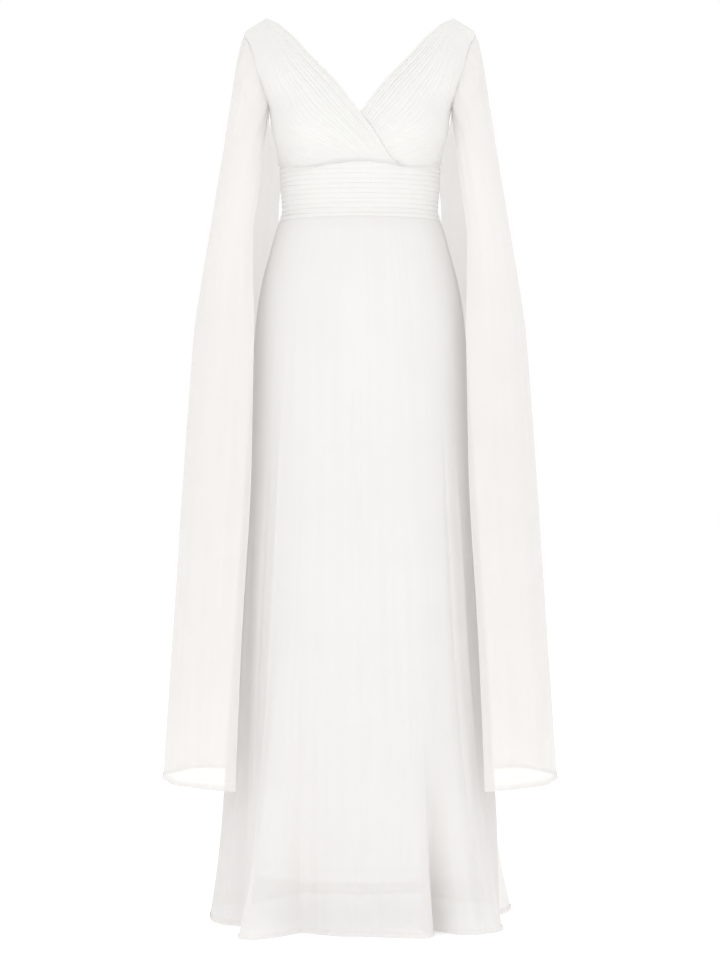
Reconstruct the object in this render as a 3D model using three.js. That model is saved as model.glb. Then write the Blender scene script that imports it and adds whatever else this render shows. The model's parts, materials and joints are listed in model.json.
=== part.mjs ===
// Evening dress: full-length chiffon gown with a pleated wrap bodice, a pleated
// waistband, a sheer A-line overskirt on a shorter lining, and open cape sleeves.
// Worn form: the cloth stands as a wearer fills it, and every opening stays open.
// Millimetres. +Z is up, the front faces -Y, and +X is the wearer's left.
// The origin is midway between the tops of the two shoulder seams.
import * as THREE from "three";

// ---------------------------------------------------------------- sizes
const CLOTH = 1.2; // one layer of cloth
const SEAM_GAP = 0.3; // parts two pieces at a seam
const HALF_GAP = SEAM_GAP / 2;
const DEGREE = Math.PI / 180;
const SIDE = 90; // angle of the side seams, from the centre front
const CENTRE_BACK = 180;

const UNDERARM_Z = -155;
const WAIST_SEAM_Z = -342;
const SKIRT_HEM_Z = -1509;
const LINING_HEM_Z = -1430;
const BACK_NECK_Z = -215;
const BACK_BAND_TOP_Z = -247;

const PLEATS_PER_FRONT = 14;
const EDGE_ARMHOLE = 0.38; // share of a front's outer edge that is armhole;
const EDGE_SIDE = 0.235; // then this share is side seam, and the rest is under-bust seam
const EDGE_ROUNDING = 0.08; // the pleats round that edge's corners over this share of it
const EDGE_FOLLOWED = 0.82; // past here across the front, they bend to the edge itself
const FRONT_PLEAT_RISE = 1.8;
const EDGE_PLEAT_RISE = 0.4; // share of the rise left where a pleat is sewn down
const FLAT_PLEATS = 4.5; // this many pleats flatten towards the armhole's edge
const ARMHOLE_FADE = 0.1; // and rise again over this share of the outer edge, below it
const PLEAT_CREST = 0.8; // where a knife pleat is highest, across its width
const WRAP_SINK = 5.4; // how far the under front drops behind the over front
const WRAP_MARGIN = 8; // it is fully dropped this far past the over front's edge
const WRAP_BLEND = 20; // and drops over this width

const BAND_PLEATS = 10;
const BAND_PLEAT_RISE = 1.4;
const BAND_STEP = 10; // degrees between columns of the waistband
const BAND_SHAPED = 0.4; // share of its height over which pleats follow the top seam
const BAND_DROP = 0.25; // extra room under the cups, where the seam curves

// The back of the bodice: how far down its outer edge the shoulder and the
// armhole end, and the rows that it is built through.
const BACK_SHOULDER_END = 0.2;
const BACK_ARMHOLE_END = 0.65;
const BACK_ROWS = [0, 0.1, 0.2, 0.3, 0.4, 0.48, 0.56, 0.62, 0.65, 0.76, 0.88, 1];
const BODICE_LEVELLED = 24; // the cloth's edge turns level this close to the seam below

// Places along a front's pleats: first down the armhole, where they match the
// sleeve's own columns, then the outer edge's lower corner and on to the wrap end.
const SLEEVE_COLUMNS = 18;
const FRONT_COLUMNS = [
  ...[9, 7, 5, 4, 3, 2, 1, 0].map((step) => EDGE_ARMHOLE * (1 - (2 * step) / SLEEVE_COLUMNS)),
  0.46, 0.54, EDGE_ARMHOLE + EDGE_SIDE, 0.66, 0.72, 0.79, 0.86, 0.93, 1,
];

const CUP = { x: 84, z: -196, width: 43, above: 62, below: 31, height: 21 };

// Girth of the dress, by height: half width at the side seams, and how far the
// cloth stands in front of and behind the plane of the side seams.
const GIRTH = [
  { z: 0, side: 157, front: 14, back: 14 },
  { z: -12, side: 176, front: 29, back: 27 },
  { z: -25, side: 193, front: 43, back: 39 },
  { z: -48, side: 195, front: 63, back: 58 },
  { z: -75, side: 193, front: 84, back: 76 },
  { z: -110, side: 181, front: 101, back: 90 },
  { z: -135, side: 164, front: 109, back: 95 },
  { z: -155, side: 153, front: 113, back: 97 },
  { z: -195, side: 146, front: 116, back: 96 },
  { z: -223, side: 139, front: 112, back: 94 },
  { z: -250, side: 134.5, front: 104, back: 91 },
  { z: -290, side: 132.5, front: 98, back: 88 },
  { z: -325, side: 130, front: 96, back: 90 },
  { z: -342, side: 135, front: 99, back: 96 },
  { z: -366, side: 143, front: 108, back: 106 },
  { z: -403, side: 153, front: 116, back: 120 },
  { z: -444, side: 164, front: 123, back: 132 },
  { z: -504, side: 174, front: 132, back: 142 },
  { z: -700, side: 188, front: 150, back: 162 },
  { z: -1000, side: 208, front: 175, back: 190 },
  { z: -1302, side: 227, front: 198, back: 218 },
  { z: -1400, side: 235, front: 206, back: 228 },
  { z: -1509, side: 249, front: 214, back: 240 },
];

// The lining hangs inside the overskirt; narrower, with no folds.
const LINING_GIRTH = [
  { z: -342, side: 133.3, front: 97.3, back: 94.3 },
  { z: -366, side: 141, front: 106, back: 104 },
  { z: -403, side: 150.5, front: 113.5, back: 117.5 },
  { z: -444, side: 160.5, front: 119.5, back: 128.5 },
  { z: -504, side: 168.5, front: 126, back: 136 },
  { z: -700, side: 174, front: 132, back: 142 },
  { z: -1000, side: 180, front: 140, back: 150 },
  { z: -1430, side: 191, front: 152, back: 162 },
];

// Under-bust seam, by angle from the centre front.
const UNDER_BUST = [
  { angle: 0, z: -252 },
  { angle: 18, z: -255 },
  { angle: 38, z: -262.5 },
  { angle: 58, z: -259 },
  { angle: 76, z: -250 },
  { angle: 90, z: -247 },
];

// Neck edge of a front, from the shoulder across the centre to the wrap end.
// x is measured towards the wrap end.
const FRONT_NECK = [
  { x: -137, z: -12 },
  { x: -116, z: -32 },
  { x: -86, z: -68 },
  { x: -60, z: -97 },
  { x: -39.5, z: -120 },
  { x: -21.5, z: -144 },
  { x: 0, z: -173 },
  { x: 23, z: -205 },
  { x: 38, z: -229 },
  { x: 53, z: -249 },
];
const WRAP_END_X = 68;
const WRAP_FOOT_X = -48; // the front's pleats end between here and the wrap end

// Armhole, from the underarm up to the shoulder: height, and angle off the side
// seam at the front and at the back.
const ARMHOLE = [
  { at: 0, z: -155, front: 0, back: 0 },
  { at: 0.14, z: -150.5, front: 11, back: 10 },
  { at: 0.3, z: -133, front: 19, back: 17 },
  { at: 0.5, z: -105, front: 25, back: 22 },
  { at: 0.7, z: -75, front: 24.5, back: 22 },
  { at: 0.86, z: -47, front: 19, back: 17 },
  { at: 1, z: -25, front: 0, back: 0 },
];

// Sleeve, by height. Seen from above it is a loop that opens out downwards: from
// its front edge round the most forward line, the outermost fold and the most
// backward line to its back edge. A turn is the angle from the outer fold to an
// edge: 180 where the loop is closed, and less where the edge hangs free.
const SLEEVE = [
  { z: -25, edgeX: 154, frontY: 44, frontTurn: 180, foldX: 194, backX: 153, backY: 40, backTurn: 180 },
  { z: -68, edgeX: 154, frontY: 44, frontTurn: 180, foldX: 205, backX: 153, backY: 40, backTurn: 180 },
  { z: -155, edgeX: 155, frontY: 45, frontTurn: 176, foldX: 219, backX: 152, backY: 42, backTurn: 170 },
  { z: -180, edgeX: 156.5, frontY: 48, frontTurn: 163, foldX: 223, backX: 144, backY: 46, backTurn: 146 },
  { z: -207, edgeX: 159, frontY: 52, frontTurn: 151, foldX: 227, backX: 137, backY: 52, backTurn: 138 },
  { z: -258, edgeX: 164, frontY: 60, frontTurn: 138, foldX: 235.5, backX: 132.5, backY: 60, backTurn: 132 },
  { z: -310, edgeX: 170, frontY: 68, frontTurn: 130, foldX: 244, backX: 137.5, backY: 70, backTurn: 128 },
  { z: -371, edgeX: 177, frontY: 77, frontTurn: 124, foldX: 254, backX: 139.5, backY: 86, backTurn: 122 },
  { z: -444, edgeX: 176.5, frontY: 86, frontTurn: 120, foldX: 266, backX: 139, backY: 104, backTurn: 116 },
  { z: -525, edgeX: 174.5, frontY: 96, frontTurn: 116, foldX: 278, backX: 141, backY: 118, backTurn: 112 },
  { z: -645, edgeX: 176, frontY: 107, frontTurn: 112, foldX: 287.5, backX: 143, backY: 132, backTurn: 108 },
  { z: -763, edgeX: 178, frontY: 116, frontTurn: 110, foldX: 296, backX: 145, backY: 142, backTurn: 106 },
  { z: -1038, edgeX: 193, frontY: 132, frontTurn: 108, foldX: 314.5, backX: 157, backY: 162, backTurn: 104 },
  { z: -1286, edgeX: 203, frontY: 148, frontTurn: 106, foldX: 331, backX: 170, backY: 184, backTurn: 102 },
];
const SLEEVE_HEM_Z = -1274; // at the outer fold
const SLEEVE_HEM_DIP = 9; // how much lower the two edges hang
const SLEEVE_SEAM_STEP = { underarm: 2.6, shoulder: 0.9 }; // stands off the armhole's edge
const SLEEVE_LEAVES = { underarm: 60, shoulder: 14 }; // drop in which it leaves that line

// Soft upright folds of a sleeve: place round it from the front edge (0) to the
// back edge (1), width in the same measure, depth at the hem and starting height.
const SLEEVE_FOLDS = [
  { at: 0.05, width: 0.04, depth: 4, from: -300 },
  { at: 0.17, width: 0.05, depth: 5, from: -240 },
  { at: 0.27, width: 0.06, depth: -7, from: -420 },
  { at: 0.38, width: 0.05, depth: 3, from: -360 },
  { at: 0.64, width: 0.06, depth: 4, from: -340 },
  { at: 0.76, width: 0.06, depth: -8, from: -460 },
  { at: 0.88, width: 0.06, depth: 6, from: -260 },
];

// Hem line of the overskirt, by direction from the centre front (+ towards +X):
// each crest and trough of its folds, how far it is pushed out of the plain girth
// at the hem, and the height where that fold starts.
const SKIRT_FOLDS = [
  { angle: -180, push: -16, from: -760 },
  { angle: -170, push: 0, from: -760 },
  { angle: -158, push: 24, from: -740 },
  { angle: -146, push: 0, from: -780 },
  { angle: -134, push: -22, from: -820 },
  { angle: -122, push: 0, from: -840 },
  { angle: -111, push: 18, from: -860 },
  { angle: -97, push: 3, from: -800 },
  { angle: -76, push: 1, from: -760 },
  { angle: -66, push: -8, from: -760 },
  { angle: -59, push: -25, from: -860 },
  { angle: -49, push: -10, from: -900 },
  { angle: -41.5, push: 42, from: -950 },
  { angle: -37.5, push: 66, from: -950 },
  { angle: -33, push: 58, from: -950 },
  { angle: -29.5, push: 26, from: -980 },
  { angle: -25.5, push: -32, from: -1040 },
  { angle: -18, push: -26, from: -1060 },
  { angle: -8, push: -15, from: -1000 },
  { angle: 4, push: -12, from: -940 },
  { angle: 14, push: 4, from: -940 },
  { angle: 22.5, push: 22, from: -1000 },
  { angle: 27.5, push: 8, from: -1100 },
  { angle: 32.5, push: -66, from: -1150 },
  { angle: 37.5, push: 16, from: -1060 },
  { angle: 43, push: 34, from: -1000 },
  { angle: 51, push: 36, from: -1000 },
  { angle: 58, push: 24, from: -960 },
  { angle: 66, push: -2, from: -860 },
  { angle: 78, push: -14, from: -1290 },
  { angle: 91, push: -16, from: -1300 },
  { angle: 103, push: 10, from: -1100 },
  { angle: 114, push: 30, from: -1100 },
  { angle: 125, push: 4, from: -1000 },
  { angle: 136, push: -20, from: -840 },
  { angle: 148, push: 2, from: -780 },
  { angle: 158, push: 26, from: -740 },
  { angle: 170, push: 0, from: -760 },
  { angle: 180, push: -16, from: -760 },
];
const FOLD_GROWTH = 1.8; // folds deepen towards the hem by this power
const FOLD_COLUMN = 5.6; // widest column of cloth between two fold rows, in degrees

// Concealed zip at the centre back.
const ZIP = { top: -218, bottom: -590, width: 7, thickness: 1, inset: 1, lap: 0.8 };
const SLIDER = { z: -228, width: 4.6, footWidth: 2.85, height: 8, depth: 2, clear: 0.7 };
const PULL = { width: 4, thickness: 1.2, length: 19, z: -226 };

const SHADES = {
  chiffon: { color: 0xf2efea, roughness: 0.85, metalness: 0 },
  lining: { color: 0xf7f6f2, roughness: 0.6, metalness: 0 },
  zip: { color: 0xeeebe4, roughness: 0.5, metalness: 0.1 },
};

// ---------------------------------------------------------------- helpers
const lerp = THREE.MathUtils.lerp;
const ease = (value) => THREE.MathUtils.smoothstep(value, 0, 1);

// Smooth curve through one column of a table, read at a value of its key column.
function column(rows, name, key = "z") {
  const sorted = [...rows].sort((a, b) => a[key] - b[key]);
  const at = sorted.map((row) => row[key]);
  const value = sorted.map((row) => row[name]);
  const last = at.length - 1;
  const rise = (i) => (value[i + 1] - value[i]) / (at[i + 1] - at[i]);
  const slope = at.map((_, i) => {
    if (i === 0) return rise(0);
    if (i === last) return rise(last - 1);
    const before = rise(i - 1);
    const after = rise(i);
    return before * after <= 0 ? 0 : (2 * before * after) / (before + after);
  });
  return (position) => {
    if (position <= at[0]) return value[0];
    if (position >= at[last]) return value[last];
    const i = at.findIndex((knot) => knot > position) - 1;
    const span = at[i + 1] - at[i];
    const t = (position - at[i]) / span;
    const low = (1 + 2 * t) * (1 - t) ** 2 * value[i] + t * (1 - t) ** 2 * span * slope[i];
    const high = t * t * (3 - 2 * t) * value[i + 1] + t * t * (t - 1) * span * slope[i + 1];
    return low + high;
  };
}

// The columns of a girth table as functions of height.
function girthOf(rows) {
  return { side: column(rows, "side"), front: column(rows, "front"), back: column(rows, "back") };
}

const girth = girthOf(GIRTH);
const liningGirth = girthOf(LINING_GIRTH);

// Height of the under-bust seam: straight from one column of the waistband to the next.
const underBustCurve = column(UNDER_BUST, "z", "angle");

function underBustZ(angle) {
  const turn = Math.min(Math.abs(angle), SIDE);
  const from = Math.floor(turn / BAND_STEP) * BAND_STEP;
  const past = (turn - from) / BAND_STEP;
  return lerp(underBustCurve(from), underBustCurve(from + BAND_STEP), past);
}

const steps = (count, from = 0, to = 1) =>
  Array.from({ length: count + 1 }, (_, i) => lerp(from, to, i / count));

// Fullness of the bust cups at a place on the front.
function cupRise(x, z) {
  const reach = z > CUP.z ? CUP.above : CUP.below;
  const across = (Math.abs(x) - CUP.x) / CUP.width;
  return CUP.height * Math.exp(-across * across - ((z - CUP.z) / reach) ** 2);
}

// A point on the dress: angle in degrees from the centre front, height, and how
// far it is pushed straight out from the upright axis.
function bodyPoint(angle, z, push = 0, size = girth) {
  const turn = angle * DEGREE;
  const across = Math.sin(turn);
  const forward = Math.cos(turn);
  const side = size.side(z);
  const depth = forward >= 0 ? size.front(z) : size.back(z);
  const out = push + (forward > 0 ? cupRise(side * across, z) * ease(forward * 3) : 0);
  return new THREE.Vector3(side * across + out * across, -depth * forward - out * forward, z);
}

// Angle off the side seam that leaves half a seam's gap there.
const seamInset = (z, depth) => HALF_GAP / depth(z) / DEGREE;

// Outward unit normal of a surface given by two parameters.
function normalOf(surface, u, v, nudge, levelled) {
  const alongU = surface(u + nudge.u, v).sub(surface(u - nudge.u, v));
  const alongV = surface(u, v + nudge.v).sub(surface(u, v - nudge.v));
  const normal = alongU.cross(alongV);
  normal.z *= 1 - levelled;
  return normal.normalize();
}

// Outward unit normal of the dress; levelled is how far it is turned level, 0 to 1.
function bodyNormal(angle, z, levelled) {
  return normalOf((a, h) => bodyPoint(a, h), angle, z, { u: 0.4, v: 0.5 }, levelled);
}

// A closed wall between an outer and an inner grid of points.
function wall(name, shade, columns, rows, outer, inner) {
  const wide = columns.length;
  const tall = rows.length;
  const points = [];
  for (const face of [outer, inner]) {
    for (const v of rows) {
      for (const u of columns) points.push(face(u, v));
    }
  }
  const behind = wide * tall;
  const index = [];
  const quad = (a, b, c, d) => index.push(a, b, c, a, c, d);
  for (let row = 0; row < tall - 1; row += 1) {
    for (let col = 0; col < wide - 1; col += 1) {
      const a = row * wide + col;
      const b = a + 1;
      const c = b + wide;
      const d = a + wide;
      quad(a, b, c, d);
      quad(behind + a, behind + d, behind + c, behind + b);
    }
  }
  for (let col = 0; col < wide - 1; col += 1) {
    const foot = (tall - 1) * wide + col;
    quad(col + 1, col, behind + col, behind + col + 1);
    quad(foot, foot + 1, behind + foot + 1, behind + foot);
  }
  for (let row = 0; row < tall - 1; row += 1) {
    const start = row * wide;
    const end = start + wide - 1;
    quad(start, start + wide, behind + start + wide, behind + start);
    quad(end + wide, end, behind + end, behind + end + wide);
  }
  return solid(name, shade, points, index);
}

// A named mesh from points and triangles, with its faces turned outwards.
function solid(name, shade, points, index) {
  const volume = index.reduce((sum, _, i) => {
    if (i % 3) return sum;
    const [a, b, c] = [points[index[i]], points[index[i + 1]], points[index[i + 2]]];
    return sum + a.dot(b.clone().cross(c));
  }, 0);
  if (volume < 0) index.reverse();
  const geometry = new THREE.BufferGeometry();
  geometry.setAttribute("position", new THREE.Float32BufferAttribute(
    points.flatMap((point) => point.toArray()), 3));
  geometry.setIndex(index);
  geometry.computeVertexNormals();
  return named(name, shade, geometry);
}

function named(name, shade, geometry) {
  const mesh = new THREE.Mesh(geometry, new THREE.MeshStandardMaterial(SHADES[shade]));
  mesh.name = name;
  return mesh;
}

const along = (points) => new THREE.CatmullRomCurve3(points, false, "centripetal");

// Smooth sheet between four edges: u runs along its top and foot, v along its
// start and its end.
function sheetBetween(top, foot, start, end) {
  return (u, v) => top(u).multiplyScalar(1 - v).addScaledVector(foot(u), v)
    .addScaledVector(start(v), 1 - u).addScaledVector(end(v), u)
    .addScaledVector(top(0), -(1 - u) * (1 - v))
    .addScaledVector(top(1), -u * (1 - v))
    .addScaledVector(foot(0), -(1 - u) * v)
    .addScaledVector(foot(1), -u * v);
}

// ---------------------------------------------------------------- bodice
// A point of the armhole: 0 at the underarm, 1 at the shoulder, front or back.
const armholeZ = column(ARMHOLE, "z", "at");
const armholeFront = column(ARMHOLE, "front", "at");
const armholeBack = column(ARMHOLE, "back", "at");

function armholeAngle(at, isFront) {
  const depth = isFront ? girth.front : girth.back;
  const turn = isFront ? -armholeFront(at) : armholeBack(at);
  const inset = seamInset(armholeZ(at), depth);
  const past = isFront ? Math.min(turn, -inset) : Math.max(turn, inset);
  return SIDE + past;
}

const armholePoint = (at, isFront) => bodyPoint(armholeAngle(at, isFront), armholeZ(at));

// Angle on the front at which the dress is x wide at height z.
const frontAngle = (x, z) => Math.asin(THREE.MathUtils.clamp(x / girth.side(z), -1, 1)) / DEGREE;

// Pleat lines run from v = k / count to the next one; each rises slowly to a
// crest and drops back.
function pleatRows(count) {
  const rows = [];
  for (let pleat = 0; pleat < count; pleat += 1) {
    rows.push(pleat / count, (pleat + PLEAT_CREST) / count);
  }
  return [...rows, 1];
}

function pleatHeight(v, count) {
  const place = v * count - Math.floor(v * count + 1e-6);
  return place < PLEAT_CREST ? place / PLEAT_CREST : (1 - place) / (1 - PLEAT_CREST);
}

// A point on the under-bust seam, just above it.
function seamPoint(angle) {
  return bodyPoint(angle, underBustZ(angle) + HALF_GAP);
}

// Angle off the centre front at which the pleats' foot meets the under-bust seam.
const wrapFootAngle = frontAngle(WRAP_FOOT_X, underBustZ(20));
const wrapEndAngle = frontAngle(WRAP_END_X, underBustZ(30));

// Shoulder seam of a front, from the neck to the top of the armhole, on the
// wearer's left (mirrored for the right).
function frontShoulder(v) {
  const z = lerp(0, armholeZ(1), v);
  return bodyPoint(SIDE - seamInset(z, girth.front), z);
}

// Its outer edge: down the armhole and the side seam, then along the under-bust
// seam to where the pleats end.
function frontOuterEdge(u) {
  if (u <= EDGE_ARMHOLE) return armholePoint(1 - u / EDGE_ARMHOLE, true);
  const sideEnd = EDGE_ARMHOLE + EDGE_SIDE;
  if (u <= sideEnd) {
    const z = lerp(UNDERARM_Z, underBustZ(SIDE) + HALF_GAP, (u - EDGE_ARMHOLE) / EDGE_SIDE);
    return bodyPoint(SIDE - seamInset(z, girth.front), z);
  }
  const sideAngle = SIDE - seamInset(underBustZ(SIDE), girth.front);
  return seamPoint(lerp(sideAngle, -wrapFootAngle, (u - sideEnd) / (1 - sideEnd)));
}

// The same edge with its corners rounded, for the pleats inside it.
function roundedEdge(u) {
  const reach = Math.min(EDGE_ROUNDING, u, 1 - u);
  const around = steps(8, u - reach, u + reach).map(frontOuterEdge);
  return around.reduce((sum, point) => sum.add(point), new THREE.Vector3())
    .divideScalar(around.length);
}

// Smooth sheet of one front. u runs along the pleats from the shoulder seam to the
// wrap end, v across them from the neck edge to the outer edge. This is the front
// from the wearer's left; its wrap end lies on the wearer's right.
function makeFrontSheet() {
  const neck = along([
    frontShoulder(0),
    ...FRONT_NECK.map(({ x, z }) => bodyPoint(frontAngle(-x, z), z)),
    seamPoint(-wrapEndAngle),
  ]);
  const wrap = along(steps(6, -wrapEndAngle, -wrapFootAngle).map(seamPoint));
  const sheets = [roundedEdge, frontOuterEdge].map((edge) =>
    sheetBetween((u) => neck.getPointAt(u), edge, frontShoulder, (v) => wrap.getPointAt(v)));
  return (u, v) => {
    const followed = ease((v - EDGE_FOLLOWED) / (1 - EDGE_FOLLOWED));
    return sheets[0](u, v).lerp(sheets[1](u, v), followed);
  };
}

// Brings a point onto the dress's own surface, keeping its height.
function ontoBody(point) {
  const across = point.x / girth.side(point.z);
  const forward = -point.y / girth.front(point.z);
  const angle = Math.atan2(across, forward) / DEGREE;
  return { angle, z: Math.max(point.z, underBustZ(angle) + HALF_GAP) };
}

const neckEdgeX = column(
  [...FRONT_NECK, { x: WRAP_END_X, z: -262.5 }], "x");

// How far the under front lies behind the over front.
function wrapSink(x, z) {
  return WRAP_SINK * ease((neckEdgeX(z) + WRAP_MARGIN + WRAP_BLEND - x) / WRAP_BLEND);
}

function makeFront(name, mirror, isUnder) {
  const sheet = makeFrontSheet();
  const offset = (u, v, rise) => {
    const { angle, z } = ontoBody(sheet(u, v));
    const levelled = 1 - ease((z - underBustZ(angle)) / BODICE_LEVELLED);
    const point = bodyPoint(angle, z);
    const sink = isUnder ? wrapSink(point.x, z) : 0;
    point.addScaledVector(bodyNormal(angle, z, levelled), rise - sink);
    if (mirror) point.x *= -1;
    return point;
  };
  const crest = (u, v) => {
    const sewnEnds = lerp(EDGE_PLEAT_RISE, 1, ease(Math.min(u, 1 - u) * 5));
    const besideArmhole = 1 - ease((u - EDGE_ARMHOLE) / ARMHOLE_FADE);
    const flattened = ease((1 - v) * PLEATS_PER_FRONT / FLAT_PLEATS);
    return FRONT_PLEAT_RISE * sewnEnds * lerp(1, flattened, besideArmhole);
  };
  return wall(name, "chiffon", FRONT_COLUMNS, pleatRows(PLEATS_PER_FRONT),
    (u, v) => offset(u, v, crest(u, v) * pleatHeight(v, PLEATS_PER_FRONT)),
    (u, v) => offset(u, v, -CLOTH));
}

// Back of the bodice, from the side seam to the centre back, under a deep V.
function makeBack(name, mirror) {
  const seamZ = BACK_BAND_TOP_Z + HALF_GAP;
  const atSide = (z) => bodyPoint(SIDE + seamInset(z, girth.back), z);
  const outer = (v) => {
    if (v <= BACK_SHOULDER_END) return atSide(lerp(0, armholeZ(1), v / BACK_SHOULDER_END));
    if (v <= BACK_ARMHOLE_END) {
      return armholePoint((BACK_ARMHOLE_END - v) / (BACK_ARMHOLE_END - BACK_SHOULDER_END), false);
    }
    return atSide(lerp(UNDERARM_Z, seamZ, (v - BACK_ARMHOLE_END) / (1 - BACK_ARMHOLE_END)));
  };
  const middleGap = (z) => CENTRE_BACK - HALF_GAP / girth.side(z) / DEGREE;
  const neckAngle = (x, z) => CENTRE_BACK - frontAngle(x, z);
  const shoulderX = girth.side(0);
  const neck = along([
    outer(0),
    ...steps(6, 0.12, 0.9).map((t) => {
      const z = BACK_NECK_Z * t;
      return bodyPoint(neckAngle(shoulderX * (1 - t), z), z);
    }),
    bodyPoint(middleGap(BACK_NECK_Z), BACK_NECK_Z),
  ]);
  const footStart = SIDE + seamInset(seamZ, girth.back);
  const foot = (u) => bodyPoint(lerp(footStart, middleGap(seamZ), u), seamZ);
  const middle = (v) => {
    const z = lerp(BACK_NECK_Z, seamZ, v);
    return bodyPoint(middleGap(z), z);
  };
  const sheet = sheetBetween((u) => neck.getPointAt(u), foot, outer, middle);
  const offset = (u, v, rise) => {
    const { x, y, z } = sheet(u, v);
    const angle = Math.atan2(x / girth.side(z), -y / girth.back(z)) / DEGREE;
    const levelled = 1 - ease((z - seamZ) / BODICE_LEVELLED);
    const point = bodyPoint(angle, z).addScaledVector(bodyNormal(angle, z, levelled), rise);
    if (mirror) point.x *= -1;
    return point;
  };
  return wall(name, "chiffon", steps(8), BACK_ROWS,
    (u, v) => offset(u, v, 0), (u, v) => offset(u, v, -CLOTH));
}

// ---------------------------------------------------------------- waistband
// A band piece between two angles, with level knife pleats all the way down.
function makeBand(name, from, to, columns) {
  const isFront = Math.abs(from) < SIDE;
  const top = (angle) => (isFront ? underBustZ(angle) - BAND_DROP : BACK_BAND_TOP_Z) - HALF_GAP;
  const foot = WAIST_SEAM_Z + HALF_GAP;
  const level = (v) => lerp(BACK_BAND_TOP_Z - HALF_GAP, foot, v);
  const place = (angle, v) => {
    const shaped = Math.max(0, 1 - v / BAND_SHAPED);
    return bodyPoint(angle, level(v) + (top(angle) - level(0)) * shaped);
  };
  const offset = (angle, v, rise) => {
    const point = place(angle, v);
    return point.addScaledVector(bodyNormal(angle, point.z, 1), rise);
  };
  return wall(name, "chiffon", steps(columns, from, to), pleatRows(BAND_PLEATS),
    (angle, v) => offset(angle, v, BAND_PLEAT_RISE * pleatHeight(v, BAND_PLEATS)),
    (angle, v) => offset(angle, v, -CLOTH));
}

// ---------------------------------------------------------------- skirt
// How far the overskirt's folds push the cloth out at a place.
const foldPushAtHem = column(SKIRT_FOLDS, "push", "angle");
const foldFrom = column(SKIRT_FOLDS, "from", "angle");

function foldPush(angle, z) {
  const from = foldFrom(angle);
  const grown = Math.max(0, (from - z) / (from - SKIRT_HEM_Z));
  return foldPushAtHem(angle) * grown ** FOLD_GROWTH;
}

// Places across a panel, 0 to 1, with a column on each crest and trough.
function foldColumns(fromAngle, toAngle) {
  const low = Math.min(fromAngle, toAngle);
  const high = Math.max(fromAngle, toAngle);
  const inner = SKIRT_FOLDS.map((row) => row.angle)
    .filter((angle) => angle > low + 2 && angle < high - 2);
  const stops = [low, ...inner, high];
  const angles = [low];
  for (let i = 1; i < stops.length; i += 1) {
    const parts = Math.ceil((stops[i] - stops[i - 1]) / FOLD_COLUMN);
    angles.push(...steps(parts, stops[i - 1], stops[i]).slice(1));
  }
  return angles.map((angle) => (angle - fromAngle) / (toAngle - fromAngle));
}

// A skirt panel between two seams, given as angles by height.
function makeSkirtPanel(name, shade, size, push, seams, hemZ, columns, heights) {
  const surface = (angle, z) => bodyPoint(angle, z, push(angle, z), size);
  const place = (u, z) => lerp(seams.from(z), seams.to(z), u);
  const offset = (u, z, rise) => {
    const angle = place(u, z);
    const normal = normalOf(surface, angle, z, { u: 0.3, v: 1 }, 1);
    return surface(angle, z).addScaledVector(normal, rise);
  };
  const rows = [...heights.filter((z) => z > hemZ + 1), hemZ];
  return wall(name, shade, columns, rows,
    (u, z) => offset(u, z, 0), (u, z) => offset(u, z, -CLOTH));
}

const SKIRT_TOP_Z = WAIST_SEAM_Z - HALF_GAP;
const SKIRT_HEIGHTS = [
  SKIRT_TOP_Z, -366, -403, -444, -504, -600, -730, -870, -1000, -1110, -1210, -1300, -1380, -1446,
];
const LINING_HEIGHTS = [
  SKIRT_TOP_Z, -366, -403, -444, -504, ZIP.bottom + 3, ZIP.bottom - 6, -850, -1150,
];

// Seams as angles by height: the gap stays the same width all the way down.
const sideSeam = (sign, depth) => (z) => sign * (SIDE - seamInset(z, depth));
const backSideSeam = (sign, depth) => (z) => sign * (SIDE + seamInset(z, depth));
const middleSeam = (sign, side, halfGap) => (z) =>
  sign * (CENTRE_BACK - halfGap(z) / side(z) / DEGREE);

function makeSkirt() {
  const front = { from: sideSeam(-1, girth.front), to: sideSeam(1, girth.front) };
  const pieces = [
    makeSkirtPanel("skirt_front", "chiffon", girth, foldPush, front, SKIRT_HEM_Z,
      foldColumns(-SIDE, SIDE), SKIRT_HEIGHTS),
  ];
  for (const [word, sign] of [["left", 1], ["right", -1]]) {
    const seams = {
      from: backSideSeam(sign, girth.back),
      to: middleSeam(sign, girth.side, () => HALF_GAP),
    };
    pieces.push(makeSkirtPanel(`skirt_back_${word}`, "chiffon", girth, foldPush, seams,
      SKIRT_HEM_Z, foldColumns(sign * SIDE, sign * CENTRE_BACK), SKIRT_HEIGHTS));
  }
  return pieces;
}

function makeLining() {
  const plain = () => 0;
  const besideZip = (z) => (z > ZIP.bottom ? ZIP.width / 2 + ZIP.lap : HALF_GAP);
  const size = liningGirth;
  const front = { from: sideSeam(-1, size.front), to: sideSeam(1, size.front) };
  const pieces = [
    makeSkirtPanel("lining_front", "lining", size, plain, front, LINING_HEM_Z,
      steps(14), LINING_HEIGHTS),
  ];
  for (const [word, sign] of [["left", 1], ["right", -1]]) {
    const seams = {
      from: backSideSeam(sign, size.back),
      to: middleSeam(sign, size.side, besideZip),
    };
    pieces.push(makeSkirtPanel(`lining_back_${word}`, "lining", size, plain, seams,
      LINING_HEM_Z, steps(7), LINING_HEIGHTS));
  }
  return pieces;
}

// ---------------------------------------------------------------- sleeves
const sleeve = Object.fromEntries(Object.keys(SLEEVE[0]).filter((name) => name !== "z")
  .map((name) => [name, column(SLEEVE, name)]));

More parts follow.
